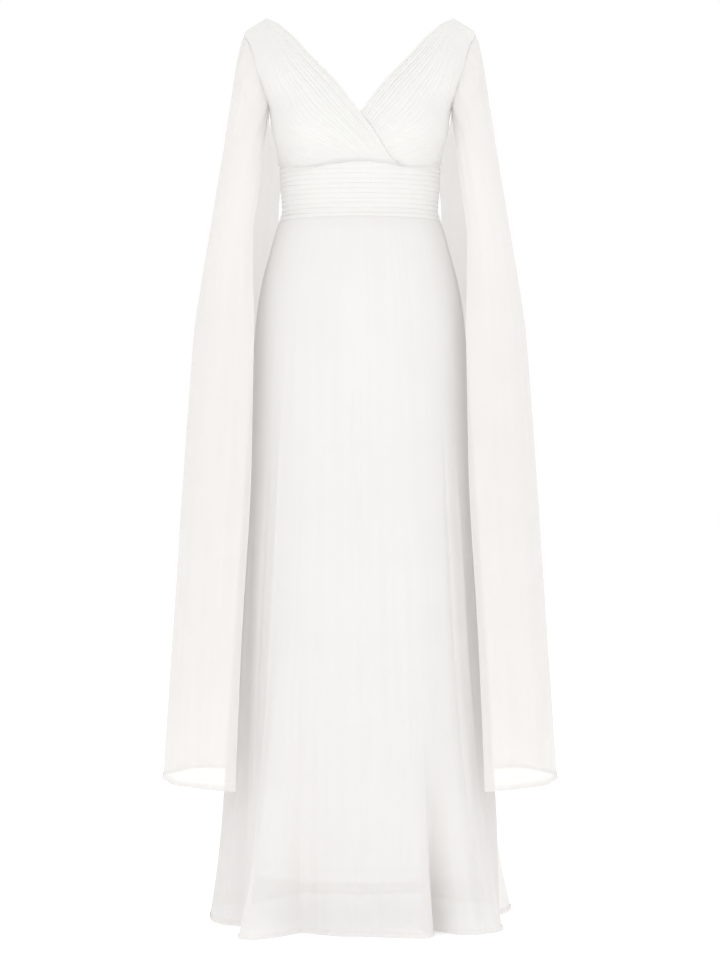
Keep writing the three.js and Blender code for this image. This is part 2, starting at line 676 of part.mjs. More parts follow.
// Where the hanging sleeve lies in plan: round is 0 at the front edge, 0.5 at
// the outer fold and 1 at the back edge.
function sleeveHang(round, z) {
  const isFront = round < 0.5;
  const endX = isFront ? sleeve.edgeX(z) : sleeve.backX(z);
  const reach = isFront ? -sleeve.frontY(z) : sleeve.backY(z);
  const fullTurn = (isFront ? sleeve.frontTurn(z) : sleeve.backTurn(z)) * DEGREE;
  const turn = Math.abs(round - 0.5) * 2 * fullTurn;
  const radius = (sleeve.foldX(z) - endX) / (1 - Math.cos(fullTurn));
  return new THREE.Vector3(sleeve.foldX(z) - radius * (1 - Math.cos(turn)), reach * Math.sin(turn), z);
}

function sleeveFold(round, z) {
  return SLEEVE_FOLDS.reduce((sum, fold) => {
    const grown = THREE.MathUtils.clamp((fold.from - z) / (fold.from - SLEEVE_HEM_Z), 0, 1);
    return sum + fold.depth * grown * Math.exp(-(((round - fold.at) / fold.width) ** 2));
  }, 0);
}

function makeSleeve(name, mirror) {
  const plan = (round, drop) => {
    const isFront = round <= 0.5;
    const at = 1 - Math.abs(round - 0.5) * 2;
    const seam = armholePoint(at, isFront);
    seam.x += lerp(SLEEVE_SEAM_STEP.underarm, SLEEVE_SEAM_STEP.shoulder, ease(at));
    const hemZ = SLEEVE_HEM_Z - SLEEVE_HEM_DIP * (1 - at) ** 2;
    const z = lerp(seam.z, hemZ, drop);
    const hang = sleeveHang(round, z);
    const left = ease((seam.z - z) / lerp(SLEEVE_LEAVES.underarm, SLEEVE_LEAVES.shoulder, at));
    return new THREE.Vector3(lerp(seam.x, hang.x, left), lerp(seam.y, hang.y, left), z);
  };
  const offset = (round, drop, rise) => {
    const point = plan(round, drop);
    const inside = THREE.MathUtils.clamp(round, 0.01, 0.99);
    const normal = normalOf(plan, inside, Math.max(drop, 0.004), { u: 0.008, v: 0.004 }, 0);
    point.addScaledVector(normal, sleeveFold(round, point.z) + rise);
    if (mirror) point.x *= -1;
    return point;
  };
  const drops = steps(15).map((t) => t ** 1.5);
  return wall(name, "chiffon", steps(SLEEVE_COLUMNS), drops,
    (round, drop) => offset(round, drop, 0), (round, drop) => offset(round, drop, -CLOTH));
}

// ---------------------------------------------------------------- zip
// Closed chain of the zip, lying against the inside of the centre-back seam.
function makeZipChain() {
  const back = (z) => girth.back(z) - CLOTH - ZIP.inset;
  const heights = steps(24, ZIP.top, ZIP.bottom);
  const place = (x, z, sink) => new THREE.Vector3(x, back(z) - sink, z);
  return wall("zip_chain", "zip", [-ZIP.width / 2, ZIP.width / 2], heights,
    (x, z) => place(x, z, 0), (x, z) => place(x, z, ZIP.thickness));
}

// Slider at the top of the zip, and the pull tab that swings on it.
const sliderBackY = girth.back(SLIDER.z) + SLIDER.clear;
const pullAxisY = sliderBackY + SLIDER.depth + SEAM_GAP + PULL.thickness / 2;

function makeZipSlider() {
  const outline = new THREE.Shape();
  const half = SLIDER.width / 2;
  outline.moveTo(-half, SLIDER.height / 2);
  outline.lineTo(half, SLIDER.height / 2);
  outline.lineTo(SLIDER.footWidth / 2, -SLIDER.height / 2);
  outline.lineTo(-SLIDER.footWidth / 2, -SLIDER.height / 2);
  outline.closePath();
  const geometry = new THREE.ExtrudeGeometry(outline, { depth: SLIDER.depth, bevelEnabled: false });
  const mesh = named("zip_slider", "zip", geometry);
  mesh.rotation.x = Math.PI / 2;
  mesh.position.set(0, sliderBackY + SLIDER.depth, SLIDER.z);
  return mesh;
}

function makeZipPull() {
  const radius = PULL.thickness / 2;
  const outline = new THREE.Shape();
  outline.absarc(0, 0, radius, 0, Math.PI, false);
  outline.lineTo(-radius, -PULL.length);
  outline.lineTo(radius, -PULL.length);
  outline.closePath();
  const geometry = new THREE.ExtrudeGeometry(outline, {
    depth: PULL.width, bevelEnabled: false, curveSegments: 6,
  });
  geometry.rotateX(Math.PI / 2);
  geometry.rotateZ(Math.PI / 2);
  const mesh = named("zip_pull", "zip", geometry);
  mesh.position.set(-PULL.width / 2, pullAxisY, PULL.z);
  return mesh;
}

// ---------------------------------------------------------------- dress
const dress = new THREE.Group();
dress.add(
  makeFront("bodice_front_over", true, false),
  makeFront("bodice_front_under", false, true),
  makeBack("bodice_back_left", false),
  makeBack("bodice_back_right", true),
);
const bandSide = SIDE - seamInset(-300, girth.front);
const bandBack = SIDE + seamInset(-300, girth.back);
const bandMiddle = CENTRE_BACK - HALF_GAP / girth.side(-325) / DEGREE;
dress.add(
  makeBand("waistband_front", -bandSide, bandSide, 18),
  makeBand("waistband_back_left", bandBack, bandMiddle, 8),
  makeBand("waistband_back_right", -bandMiddle, -bandBack, 8),
);
dress.add(...makeSkirt(), ...makeLining());
dress.add(makeSleeve("sleeve_left", false), makeSleeve("sleeve_right", true));
dress.add(makeZipChain(), makeZipSlider(), makeZipPull());

export default dress;
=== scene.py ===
"""Evening dress: its cloth, sewing and zip, built round the fixed frame.

Metres. +Z is up, the front faces -Y, and +X is the wearer's left. The origin is
midway between the tops of the two shoulder seams. Angles on the dress are in
degrees from the centre front, + towards +X.
"""

import json
import math
from collections import namedtuple

import bpy
import numpy as np
from mathutils import Matrix, Vector


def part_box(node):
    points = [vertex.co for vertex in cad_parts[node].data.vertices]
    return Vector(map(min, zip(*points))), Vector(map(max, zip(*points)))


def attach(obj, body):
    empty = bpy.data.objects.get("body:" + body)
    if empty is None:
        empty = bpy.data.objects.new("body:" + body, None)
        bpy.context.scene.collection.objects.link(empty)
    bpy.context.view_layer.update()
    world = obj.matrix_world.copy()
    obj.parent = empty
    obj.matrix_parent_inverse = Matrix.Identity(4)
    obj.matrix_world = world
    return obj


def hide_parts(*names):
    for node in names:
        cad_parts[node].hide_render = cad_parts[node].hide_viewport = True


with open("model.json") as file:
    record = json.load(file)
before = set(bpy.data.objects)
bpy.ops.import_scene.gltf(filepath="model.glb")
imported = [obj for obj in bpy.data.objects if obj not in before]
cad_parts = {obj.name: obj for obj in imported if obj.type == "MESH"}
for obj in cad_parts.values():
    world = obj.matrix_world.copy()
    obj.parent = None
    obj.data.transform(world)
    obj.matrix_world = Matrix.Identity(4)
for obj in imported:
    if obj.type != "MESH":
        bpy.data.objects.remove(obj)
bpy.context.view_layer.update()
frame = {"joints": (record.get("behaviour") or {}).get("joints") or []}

bl_info = {
    "name": "Evening dress",
    "version": (1, 0, 0),
    "blender": (4, 5, 0),
    "location": "3D View > Sidebar > Dress",
    "description": "A chiffon evening dress with a pleated wrap bodice and cape sleeves",
    "category": "Add Mesh",
}

# ------------------------------------------------------------------ sizes
DRESS, PULL_TAB = "dress", "zip_pull_tab"  # what the pieces ride on

SIDE, CENTRE_BACK = 90.0, 180.0
UNDERARM_Z = -0.155
WAIST_SEAM_Z = -0.342
SKIRT_HEM_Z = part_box("skirt_front")[0].z
LINING_HEM_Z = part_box("lining_front")[0].z
BACK_NECK_Z = -0.215
BACK_BAND_TOP_Z = -0.247
BAND_STEP = 10.0  # degrees between the corners of the under-bust seam
SEAM_TUCK = 0.0006  # how far a piece runs on under its neighbour at a seam

PLEATS_PER_FRONT = 28
PLEAT_SPREAD = 1.12  # pleats are narrower by the neck edge than by the side, by this power
EDGE_ARMHOLE, EDGE_SIDE = 0.38, 0.235  # shares of a front's outer edge; the rest is the band's seam
EDGE_ROUNDING, EDGE_FOLLOWED = 0.08, 0.82  # how the pleats round its corners, and where they stop
ARMHOLE_FADE, FLAT_PLEATS = 0.1, 9  # pleats flatten towards the armhole
PLEAT_ENDS, END_RISE = 5, 0.35  # over a fifth of their length pleats fall to this share
RISE_VARIES, BAND_RISE_VARIES = 0.35, 0.25  # share by which pleats differ in height
WRAP_END_X, WRAP_FOOT_X = 0.068, -0.048  # a front's pleats end on the band's seam between these
WRAP_SINK = 0.0030  # how far the under front lies behind the over one
WRAP_MARGIN, WRAP_BLEND = 0.008, 0.020  # it sinks over this blend, outside this margin
BODICE_LAP, LAP_HEIGHT = 0.0030, 0.006  # the bodice's foot stands proud of the band
LEVEL_HEIGHT = 0.024  # from this far above the band's seam, pleats turn to stand out level
EDGE_TURNED = 0.0005  # how far the bodice's foot and outer edge turn in
BACK_SHOULDER_END, BACK_ARMHOLE_END = 0.2, 0.65  # shares of a back's outer edge
BACK_SPREAD = 1.25  # rows of a back are closer by the neck edge, by this power
JUST_BEHIND = 1e-6  # degrees behind the side seam, so that a point takes the back's depth
SHOULDER_TOP = 0.016  # down to here the cloth bridges the open top between neck and shoulder
BAND_PLEATS = 12
BAND_FADE, BAND_FOOT_FADE = 0.006, 0.004  # the band's pleats rise over this height at either seam
BEHIND_SEAM = 0.08  # rows above the band's top seam are squeezed to this share over it
FOLD_GROWTH = 1.8  # folds deepen towards the hem by this power
CREASE_FADE = 0.16  # height over which a crease fades in
GATHER_START, GATHER_LENGTH = 0.012, 0.07  # heights over which gathers deepen, then fade
ARMHOLE_TUCK = 0.0004  # how far a sleeve's seam allowance lies inside the armhole

# Points in each grid of cloth, across and down.
FRONT_COLUMNS, BACK_COLUMNS, BACK_ROWS = 170, 90, 110
BAND_FRONT_COLUMNS, BAND_BACK_COLUMNS = 170, 90
SKIRT_FRONT_COLUMNS, SKIRT_BACK_COLUMNS, SKIRT_ROWS = 300, 150, 170
SLEEVE_COLUMNS, SLEEVE_ROWS = 170, 190
ROLL_ROWS = 5  # rows in the roll of a hem
SHORTEST, NEVER_ZERO = 1e-12, 1e-6  # so that no direction is without a length

# The pieces that go round the dress, with the angles they run between.
ROUND = (("front", -SIDE, SIDE), ("back_left", SIDE, CENTRE_BACK),
         ("back_right", -CENTRE_BACK, -SIDE))


def rows_of(kind, rows):
    """A table's rows, with their columns named."""
    return [kind(*row) for row in rows]


Cup = namedtuple("Cup", "x z width above below height")
CUP = Cup(0.084, -0.196, 0.043, 0.062, 0.031, 0.021)

# Girth of the dress by height: half width at the side seams, and how far the
# cloth stands before and behind the plane of the side seams.
Girth = namedtuple("Girth", "z side front back")
GIRTH = rows_of(Girth, [
    (0, 0.157, 0.014, 0.014), (-0.012, 0.176, 0.029, 0.027), (-0.025, 0.193, 0.043, 0.039),
    (-0.048, 0.195, 0.063, 0.058), (-0.075, 0.193, 0.084, 0.076), (-0.110, 0.181, 0.101, 0.090),
    (-0.135, 0.164, 0.109, 0.095), (-0.155, 0.153, 0.113, 0.097), (-0.195, 0.146, 0.116, 0.096),
    (-0.223, 0.139, 0.112, 0.094), (-0.250, 0.1345, 0.104, 0.091),
    (-0.290, 0.1325, 0.098, 0.088), (-0.325, 0.130, 0.096, 0.090),
    (-0.342, 0.135, 0.099, 0.096), (-0.366, 0.143, 0.108, 0.106), (-0.403, 0.153, 0.116, 0.120),
    (-0.444, 0.164, 0.123, 0.132), (-0.504, 0.174, 0.132, 0.142), (-0.700, 0.188, 0.150, 0.162),
    (-1.000, 0.208, 0.175, 0.190), (-1.302, 0.227, 0.198, 0.218), (-1.400, 0.235, 0.206, 0.228),
    (-1.509, 0.249, 0.214, 0.240),
])
LINING_GIRTH = rows_of(Girth, [
    (-0.342, 0.1333, 0.0973, 0.0943), (-0.366, 0.141, 0.106, 0.104),
    (-0.403, 0.1505, 0.1135, 0.1175), (-0.444, 0.1605, 0.1195, 0.1285),
    (-0.504, 0.1685, 0.126, 0.136), (-0.700, 0.174, 0.132, 0.142),
    (-1.000, 0.180, 0.140, 0.150), (-1.430, 0.191, 0.152, 0.162),
])

SeamPoint = namedtuple("SeamPoint", "angle z")
UNDER_BUST = rows_of(SeamPoint, [
    (0, -0.252), (18, -0.255), (38, -0.2625), (58, -0.259), (76, -0.250), (90, -0.247),
])

# Neck edge of a front, from the shoulder to the wrap end; x runs towards the end.
NeckPoint = namedtuple("NeckPoint", "x z")
FRONT_NECK = rows_of(NeckPoint, [
    (-0.137, -0.012), (-0.116, -0.032), (-0.086, -0.068), (-0.060, -0.097), (-0.0395, -0.120),
    (-0.0215, -0.144), (0, -0.173), (0.023, -0.205), (0.038, -0.229), (0.053, -0.249),
])

# Armhole, 0 at the underarm and 1 at the shoulder: height, and angle off the
# side seam at the front and at the back.
ArmholePoint = namedtuple("ArmholePoint", "at z front back")
ARMHOLE = rows_of(ArmholePoint, [
    (0, -0.155, 0, 0), (0.14, -0.1505, 11, 10), (0.3, -0.133, 19, 17), (0.5, -0.105, 25, 22),
    (0.7, -0.075, 24.5, 22), (0.86, -0.047, 19, 17), (1, -0.025, 0, 0),
])

# Sleeve by height: a loop in plan that opens out downwards, from its front edge
# round the outer fold to its back edge.
SleeveRing = namedtuple(
    "SleeveRing", "z edge_x front_y front_turn fold_x back_x back_y back_turn")
SLEEVE = rows_of(SleeveRing, [
    (-0.025, 0.154, 0.044, 180, 0.194, 0.153, 0.040, 180),
    (-0.068, 0.154, 0.044, 180, 0.205, 0.153, 0.040, 180),
    (-0.155, 0.155, 0.045, 176, 0.219, 0.152, 0.042, 170),
    (-0.180, 0.1565, 0.048, 163, 0.223, 0.144, 0.046, 146),
    (-0.207, 0.159, 0.052, 151, 0.227, 0.137, 0.052, 138),
    (-0.258, 0.164, 0.060, 138, 0.2355, 0.1325, 0.060, 132),
    (-0.310, 0.170, 0.068, 130, 0.244, 0.1375, 0.070, 128),
    (-0.371, 0.177, 0.077, 124, 0.254, 0.1395, 0.086, 122),
    (-0.444, 0.1765, 0.086, 120, 0.266, 0.139, 0.104, 116),
    (-0.525, 0.1745, 0.096, 116, 0.278, 0.141, 0.118, 112),
    (-0.645, 0.176, 0.107, 112, 0.2875, 0.143, 0.132, 108),
    (-0.763, 0.178, 0.116, 110, 0.296, 0.145, 0.142, 106),
    (-1.038, 0.193, 0.132, 108, 0.3145, 0.157, 0.162, 104),
    (-1.286, 0.203, 0.148, 106, 0.331, 0.170, 0.184, 102),
])
SLEEVE_HEM_Z, SLEEVE_HEM_DIP = -1.274, 0.009
SLEEVE_STEP_UNDERARM, SLEEVE_STEP_SHOULDER = 0.0020, 0.0006  # clear of the bodice by this much
SLEEVE_LEAVES_UNDERARM, SLEEVE_LEAVES_SHOULDER = 0.060, 0.014  # free of it this far down

# Soft upright folds of a sleeve: place round it from the front edge (0) to the
# back edge (1), width in the same measure, depth at the hem, starting height.
SoftFold = namedtuple("SoftFold", "at width depth start")
SLEEVE_FOLDS = rows_of(SoftFold, [
    (0.05, 0.04, 0.004, -0.300), (0.17, 0.05, 0.005, -0.240), (0.27, 0.06, -0.007, -0.420),
    (0.38, 0.05, 0.003, -0.360), (0.64, 0.06, 0.004, -0.340), (0.76, 0.06, -0.008, -0.460),
    (0.88, 0.06, 0.006, -0.260),
])

# The overskirt's folds, as crests and troughs round its hem: how far each is
# pushed out of the plain girth there, and the height where that fold starts.
HemFold = namedtuple("HemFold", "angle push start")
SKIRT_FOLDS = rows_of(HemFold, [
    (-180, -0.016, -0.760), (-170, 0, -0.760), (-158, 0.024, -0.740), (-146, 0, -0.780),
    (-134, -0.022, -0.820), (-122, 0, -0.840), (-111, 0.018, -0.860), (-97, 0.003, -0.800),
    (-76, 0.001, -0.760), (-66, -0.008, -0.760), (-59, -0.025, -0.860), (-49, -0.010, -0.900),
    (-41.5, 0.042, -0.950), (-37.5, 0.066, -0.950), (-33, 0.058, -0.950),
    (-29.5, 0.026, -0.980), (-25.5, -0.032, -1.040), (-18, -0.026, -1.060),
    (-8, -0.015, -1.000), (4, -0.012, -0.940), (14, 0.004, -0.940), (22.5, 0.022, -1.000),
    (27.5, 0.008, -1.100), (32.5, -0.066, -1.150), (37.5, 0.016, -1.060), (43, 0.034, -1.000),
    (51, 0.036, -1.000), (58, 0.024, -0.960), (66, -0.002, -0.860), (78, -0.014, -1.290),
    (91, -0.016, -1.300), (103, 0.010, -1.100), (114, 0.030, -1.100), (125, 0.004, -1.000),
    (136, -0.020, -0.840), (148, 0.002, -0.780), (158, 0.026, -0.740), (170, 0, -0.760),
    (180, -0.016, -0.760),
])
# Finer creases between them, by angle; each fades in below its start.
SKIRT_CREASES = rows_of(SoftFold, [
    (-118, 4.0, 0.0030, -0.90), (-66, 2.2, 0.0025, -0.80), (-52, 1.8, -0.0022, -0.70),
    (-44, 1.6, 0.0020, -0.62), (-21, 2.0, -0.0018, -0.66), (-1, 1.6, -0.0016, -0.56),
    (9, 2.4, 0.0016, -0.72), (18, 1.6, -0.0016, -0.90), (47, 1.6, -0.0022, -0.66),
    (56, 1.8, 0.0024, -0.70), (70, 2.2, -0.0024, -0.82), (121, 4.0, 0.0028, -0.92),
])

# One knife pleat, across its width: place from its own top line (0) to the next
# (1), and lift from the backing (0) to the crest (1). It laps over the next line,
# turns under itself and comes forward again as the next pleat.
PleatPoint = namedtuple("PleatPoint", "place lift")
PLEAT_SHAPE = rows_of(PleatPoint, [
    (0.00, 0.12), (0.20, 0.42), (0.45, 0.70), (0.72, 0.91), (1.00, 1.00), (1.06, 0.82),
    (1.05, 0.55), (0.86, 0.37), (0.70, 0.20), (0.80, 0.08),
])

CAMERA_DISTANCE, CAMERA_Z = 4.5, -0.776  # in front of the dress, level
FRAME_HEIGHT = 1.6128  # height of the picture at the dress's middle
FLOOR_REACH = 30.0
BACKDROP_FROM, BACKDROP_FULL = -0.7, 0.3  # the room brightens between these, from front to back

HEM_ROLL = 0.0007  # radius of the roll where a hem turns
HEM_PITCH = 0.0016  # rows of cloth this close together by a hem
CLOSEST_ROWS = 0.55  # share of that pitch under which two rows become one
NECK_THINS, NECK_THINNEST = 0.10, 0.12  # the neck's fold thins over this share of it, to this

STITCH_IN, LINING_STITCH_IN = 0.001, 0.0015  # stitches below the top of a turned hem
SEAM_END = 0.002  # a seam's ridge stops this far above the hem

ZIP_BEHIND, COIL_BEHIND = 0.0026, 0.0027  # tape and coil behind the back's surface
TAPE_ROWS, COIL_END = 160, 0.002  # the coil stops this far inside the tapes' ends
BRIDGE_REACH, BRIDGE_HALF = 0.0017, 0.0023  # how far the bridge arches beyond and beside the pin
BRIDGE_RADIUS, BRIDGE_ROOT = 0.00042, 0.0003  # its thickness, and how deep its ends sit
SLIDER_BEVEL, PULL_BEVEL = 0.0003, 0.00025
ROUND_FROM = 12  # an outline with this many points or more is drawn round, not cornered

# ------------------------------------------------------------------ curves


def blend(low, high, share):
    return low + (high - low) * share


def ease(share):
    share = np.clip(share, 0, 1)
    return share * share * (3 - 2 * share)


def column(rows, name, key="z"):
    """Smooth curve through one column of a table, as a function of its key column."""
    rows = sorted(rows, key=lambda row: getattr(row, key))
    at = np.array([getattr(row, key) for row in rows], float)
    value = np.array([getattr(row, name) for row in rows], float)
    rise = np.diff(value) / np.diff(at)
    before, after = rise[:-1], rise[1:]
    total = np.where(before + after == 0, 1, before + after)
    slope = np.concatenate(
        [rise[:1], np.where(before * after > 0, 2 * before * after / total, 0), rise[-1:]])

    def read(position):
        position = np.clip(position, at[0], at[-1])
        i = np.clip(np.searchsorted(at, position, side="right") - 1, 0, len(at) - 2)
        span = at[i + 1] - at[i]
        t = (position - at[i]) / span
        low = (1 + 2 * t) * (1 - t) ** 2 * value[i] + t * (1 - t) ** 2 * span * slope[i]
        high = t * t * (3 - 2 * t) * value[i + 1] + t * t * (t - 1) * span * slope[i + 1]
        return low + high

    return read


def girth_of(rows):
    return {name: column(rows, name) for name in ("side", "front", "back")}


def smooth_line(points):
    """Curve through points, read by the share of its length."""
    points = [np.asarray(p, float) for p in points]
    ends = [2 * points[0] - points[1], *points, 2 * points[-1] - points[-2]]
    found = []
    for a, b, c, d in zip(ends, ends[1:], ends[2:], ends[3:]):
        knots = np.cumsum([0] + [np.linalg.norm(q - p) ** 0.5 for p, q in ((a, b), (b, c), (c, d))])
        t = np.linspace(knots[1], knots[2], 24, endpoint=False)[:, None]

        def between(p, q, i, j):
            span = knots[j] - knots[i]
            return p * (knots[j] - t) / span + q * (t - knots[i]) / span

        ab, bc, cd = between(a, b, 0, 1), between(b, c, 1, 2), between(c, d, 2, 3)
        found.append(between(between(ab, bc, 0, 2), between(bc, cd, 1, 3), 1, 2))
    line = np.vstack([*found, points[-1][None]])
    length = np.concatenate([[0], np.cumsum(np.linalg.norm(np.diff(line, axis=0), axis=1))])
    length /= length[-1]
    return lambda u: np.stack([np.interp(u, length, line[:, k]) for k in range(3)], -1)


def sheet_between(top, foot, start, end):
    """Smooth sheet between four edges: u runs along its top and foot, v along its ends."""
    def at(u, v):
        u, v = np.broadcast_arrays(u, v)
        wide, tall = u[..., None], v[..., None]
        zero, one = np.zeros_like(u), np.ones_like(u)
        return (
            top(u) * (1 - tall) + foot(u) * tall + start(v) * (1 - wide) + end(v) * wide
            - top(zero) * (1 - wide) * (1 - tall) - top(one) * wide * (1 - tall)
            - foot(zero) * (1 - wide) * tall - foot(one) * wide * tall)

    return at


def uneven(line, along):
    """Slow variation of one line of cloth against the next, from -1 to 1."""
    return 0.55 * np.sin(1.9 * line + 4.7 * along) + 0.45 * np.sin(3.1 * line - 7.3 * along + 1.3)


# ------------------------------------------------------------------ the body of the dress
girth = girth_of(GIRTH)
lining_girth = girth_of(LINING_GIRTH)
under_bust_curve = column(UNDER_BUST, "z", "angle")


def under_bust_z(angle):
    turn = np.minimum(np.abs(angle), SIDE)
    start = np.floor(turn / BAND_STEP) * BAND_STEP
    return blend(under_bust_curve(start), under_bust_curve(start + BAND_STEP),
                 (turn - start) / BAND_STEP)


def cup_rise(x, z):
    """Fullness of the bust cups at a place on the front."""
    reach = np.where(z > CUP.z, CUP.above, CUP.below)
    return CUP.height * np.exp(-((np.abs(x) - CUP.x) / CUP.width) ** 2 - ((z - CUP.z) / reach) ** 2)


def body_point(angle, z, push=0.0, size=girth):
    """A point on the dress, pushed straight out from the upright axis."""
    angle, z, push = np.broadcast_arrays(angle, z, push)
    across, forward = np.sin(np.radians(angle)), np.cos(np.radians(angle))
    side = size["side"](z)
    depth = np.where(forward >= 0, size["front"](z), size["back"](z))
    out = push + np.where(forward > 0, cup_rise(side * across, z) * ease(forward * 3), 0)
    return np.stack([side * across + out * across, -depth * forward - out * forward, z], -1)


def unit(vectors):
    length = np.linalg.norm(vectors, axis=-1, keepdims=True)
    return vectors / np.maximum(length, SHORTEST)


def normal_of(surface, u, v, step_u, step_v, levelled=0.0):
    """Outward unit normal of a surface; levelled turns it level, 0 to 1."""
    normal = np.cross(surface(u + step_u, v) - surface(u - step_u, v),
                      surface(u, v + step_v) - surface(u, v - step_v))
    normal[..., 2] *= 1 - levelled
    return unit(normal)


def body_normal(angle, z, levelled=0.0):
    return normal_of(body_point, angle, z, 0.4, 0.0005, levelled)


def front_angle(x, z):
    return np.degrees(np.arcsin(np.clip(x / girth["side"](z), -1, 1)))


armhole_z = column(ARMHOLE, "z", "at")
armhole_front = column(ARMHOLE, "front", "at")
armhole_back = column(ARMHOLE, "back", "at")


def armhole_point(at, is_front):
    turn = np.where(is_front, -armhole_front(at), armhole_back(at))
    return body_point(SIDE + turn, armhole_z(at))


# ------------------------------------------------------------------ cloth meshes


def mirrored(points):
    """The same grid on the other side of the dress, with its face still outwards."""
    return (points * np.array([-1, 1, 1]))[:, ::-1]


def turned_row(points, width, thin=None):
    """The grid with its last row rolled under and turned back inside by width; thin
    gives the share of the roll's thickness along the row."""
    edge = points[-1]
    roll_size = HEM_ROLL * (np.ones(len(edge)) if thin is None else thin)[:, None]
    along = unit(points[-1] - points[-2])
    across = unit(np.gradient(edge, axis=0))
    inward = unit(np.cross(along, across))
    roll = [
        edge + along * roll_size * math.sin(a) + inward * roll_size * (1 - math.cos(a))
        for a in np.linspace(0, math.pi, ROLL_ROWS + 1)[1:]
    ]
    inside = points[:-1][::-1]
    depth = np.linalg.norm(inside - edge, axis=-1).mean(-1)
    back = inside[depth <= width]
    return np.concatenate([points, np.array(roll), back + inward * roll_size * 2])


def neck_turned(points, width):
    """The grid with its top edge turned in, flatter where it nears the shoulder seam."""
    thin = np.clip(np.linspace(0, 1, points.shape[1]) / NECK_THINS, NECK_THINNEST, 1)[::-1]
    return turned_row(points[::-1, ::-1], width, thin)[::-1, ::-1]


def close_rows(start, end, count, hem):
    """Places from start to end, with extra ones a hem's pitch apart over the hem at the end."""
    sign = 1 if end > start else -1
    extra = [end - sign * k * HEM_PITCH for k in range(1, int(round(hem / HEM_PITCH)) + 1)]
    places = sorted([*np.linspace(start, end, count), *extra], reverse=sign < 0)
    kept = [places[0]]
    for place in places[1:]:
        if abs(place - kept[-1]) > HEM_PITCH * CLOSEST_ROWS:
            kept.append(place)
    kept[-1] = end
    return np.array(kept)


def placed(name, data):
    """A new object in the scene that shows some data."""
    made = bpy.data.objects.new(name, data)
    bpy.context.scene.collection.objects.link(made)
    return made


def mesh_object(name, verts, faces, material, uv=None):
    mesh = bpy.data.meshes.new(name)
    mesh.from_pydata([tuple(v) for v in verts], [], faces)
    if uv is not None:
        layer = mesh.uv_layers.new(name="cloth")
        loops = np.empty(len(mesh.loops), np.int32)
        mesh.loops.foreach_get("vertex_index", loops)
        layer.data.foreach_set("uv", np.asarray(uv, np.float32)[loops].ravel())
    mesh.polygons.foreach_set("use_smooth", [True] * len(mesh.polygons))
    mesh.materials.append(material)
    mesh.validate()
    return placed(name, mesh)


def grid_faces(tall, wide, first=0, closed=False):
    reach = wide if closed else wide - 1
    return [
        (first + r * wide + c, first + r * wide + (c + 1) % wide,
         first + (r + 1) * wide + (c + 1) % wide, first + (r + 1) * wide + c)
        for r in range(tall - 1) for c in range(reach)
    ]


def cloth(name, points, material):
    """A sheet of cloth through a grid of points; its UVs are lengths along the cloth."""
    tall, wide = points.shape[:2]
    run = np.zeros((tall, wide))
    drop = np.zeros((tall, wide))
    run[:, 1:] = np.cumsum(np.linalg.norm(np.diff(points, axis=1), axis=-1).mean(0))
    drop[1:] = np.cumsum(np.linalg.norm(np.diff(points, axis=0), axis=-1).mean(1))[:, None]
    uv = np.stack([run, -drop], -1).reshape(-1, 2)
    faces = [face[::-1] for face in grid_faces(tall, wide)]
    return mesh_object(name, points.reshape(-1, 3), faces, material, uv)


def tube(line, radius, sides=8, flatten=1.0):
    """Vertices and faces of a capped tube along a line of points."""
    line = np.asarray(line, float)
    ahead = unit(np.gradient(line, axis=0))
    up = np.array([0, 0, 1.0])
    side = unit(np.cross(ahead, up) + NEVER_ZERO)
    over = unit(np.cross(side, ahead))
    angles = np.linspace(0, 2 * math.pi, sides, endpoint=False)
    rings = line[:, None] + radius * (
        np.cos(angles)[None, :, None] * side[:, None]
        + flatten * np.sin(angles)[None, :, None] * over[:, None])
    verts = rings.reshape(-1, 3)
    faces = grid_faces(len(line), sides, closed=True)
    faces.append(tuple(range(sides))[::-1])
    faces.append(tuple((len(line) - 1) * sides + k for k in range(sides)))
    return verts, faces


def joined(parts):
    """One list of vertices and faces from several."""
    verts, faces, first = [], [], 0
    for some_verts, some_faces in parts:
        verts.append(np.asarray(some_verts, float))
        faces.extend(tuple(i + first for i in face) for face in some_faces)
        first += len(some_verts)
    return np.vstack(verts), faces


def stitches(line, out, length, gap, thickness):
    """Machine stitches along a line, each a short thread that dips at its ends."""
    line, out = np.asarray(line, float), np.asarray(out, float)
    reach = np.concatenate([[0], np.cumsum(np.linalg.norm(np.diff(line, axis=0), axis=1))])
    starts = np.arange(gap, reach[-1] - length, length + gap)
    parts = []
    for start in starts:
        at = start + length * np.array([0, 0.25, 0.75, 1])
        centre = np.stack([np.interp(at, reach, line[:, k]) for k in range(3)], -1)
        lift = np.stack([np.interp(at, reach, out[:, k]) for k in range(3)], -1)
        height = thickness * np.array([-0.7, 0.35, 0.35, -0.7])
        parts.append(tube(centre + lift * height[:, None], thickness / 2, sides=5))
    return parts


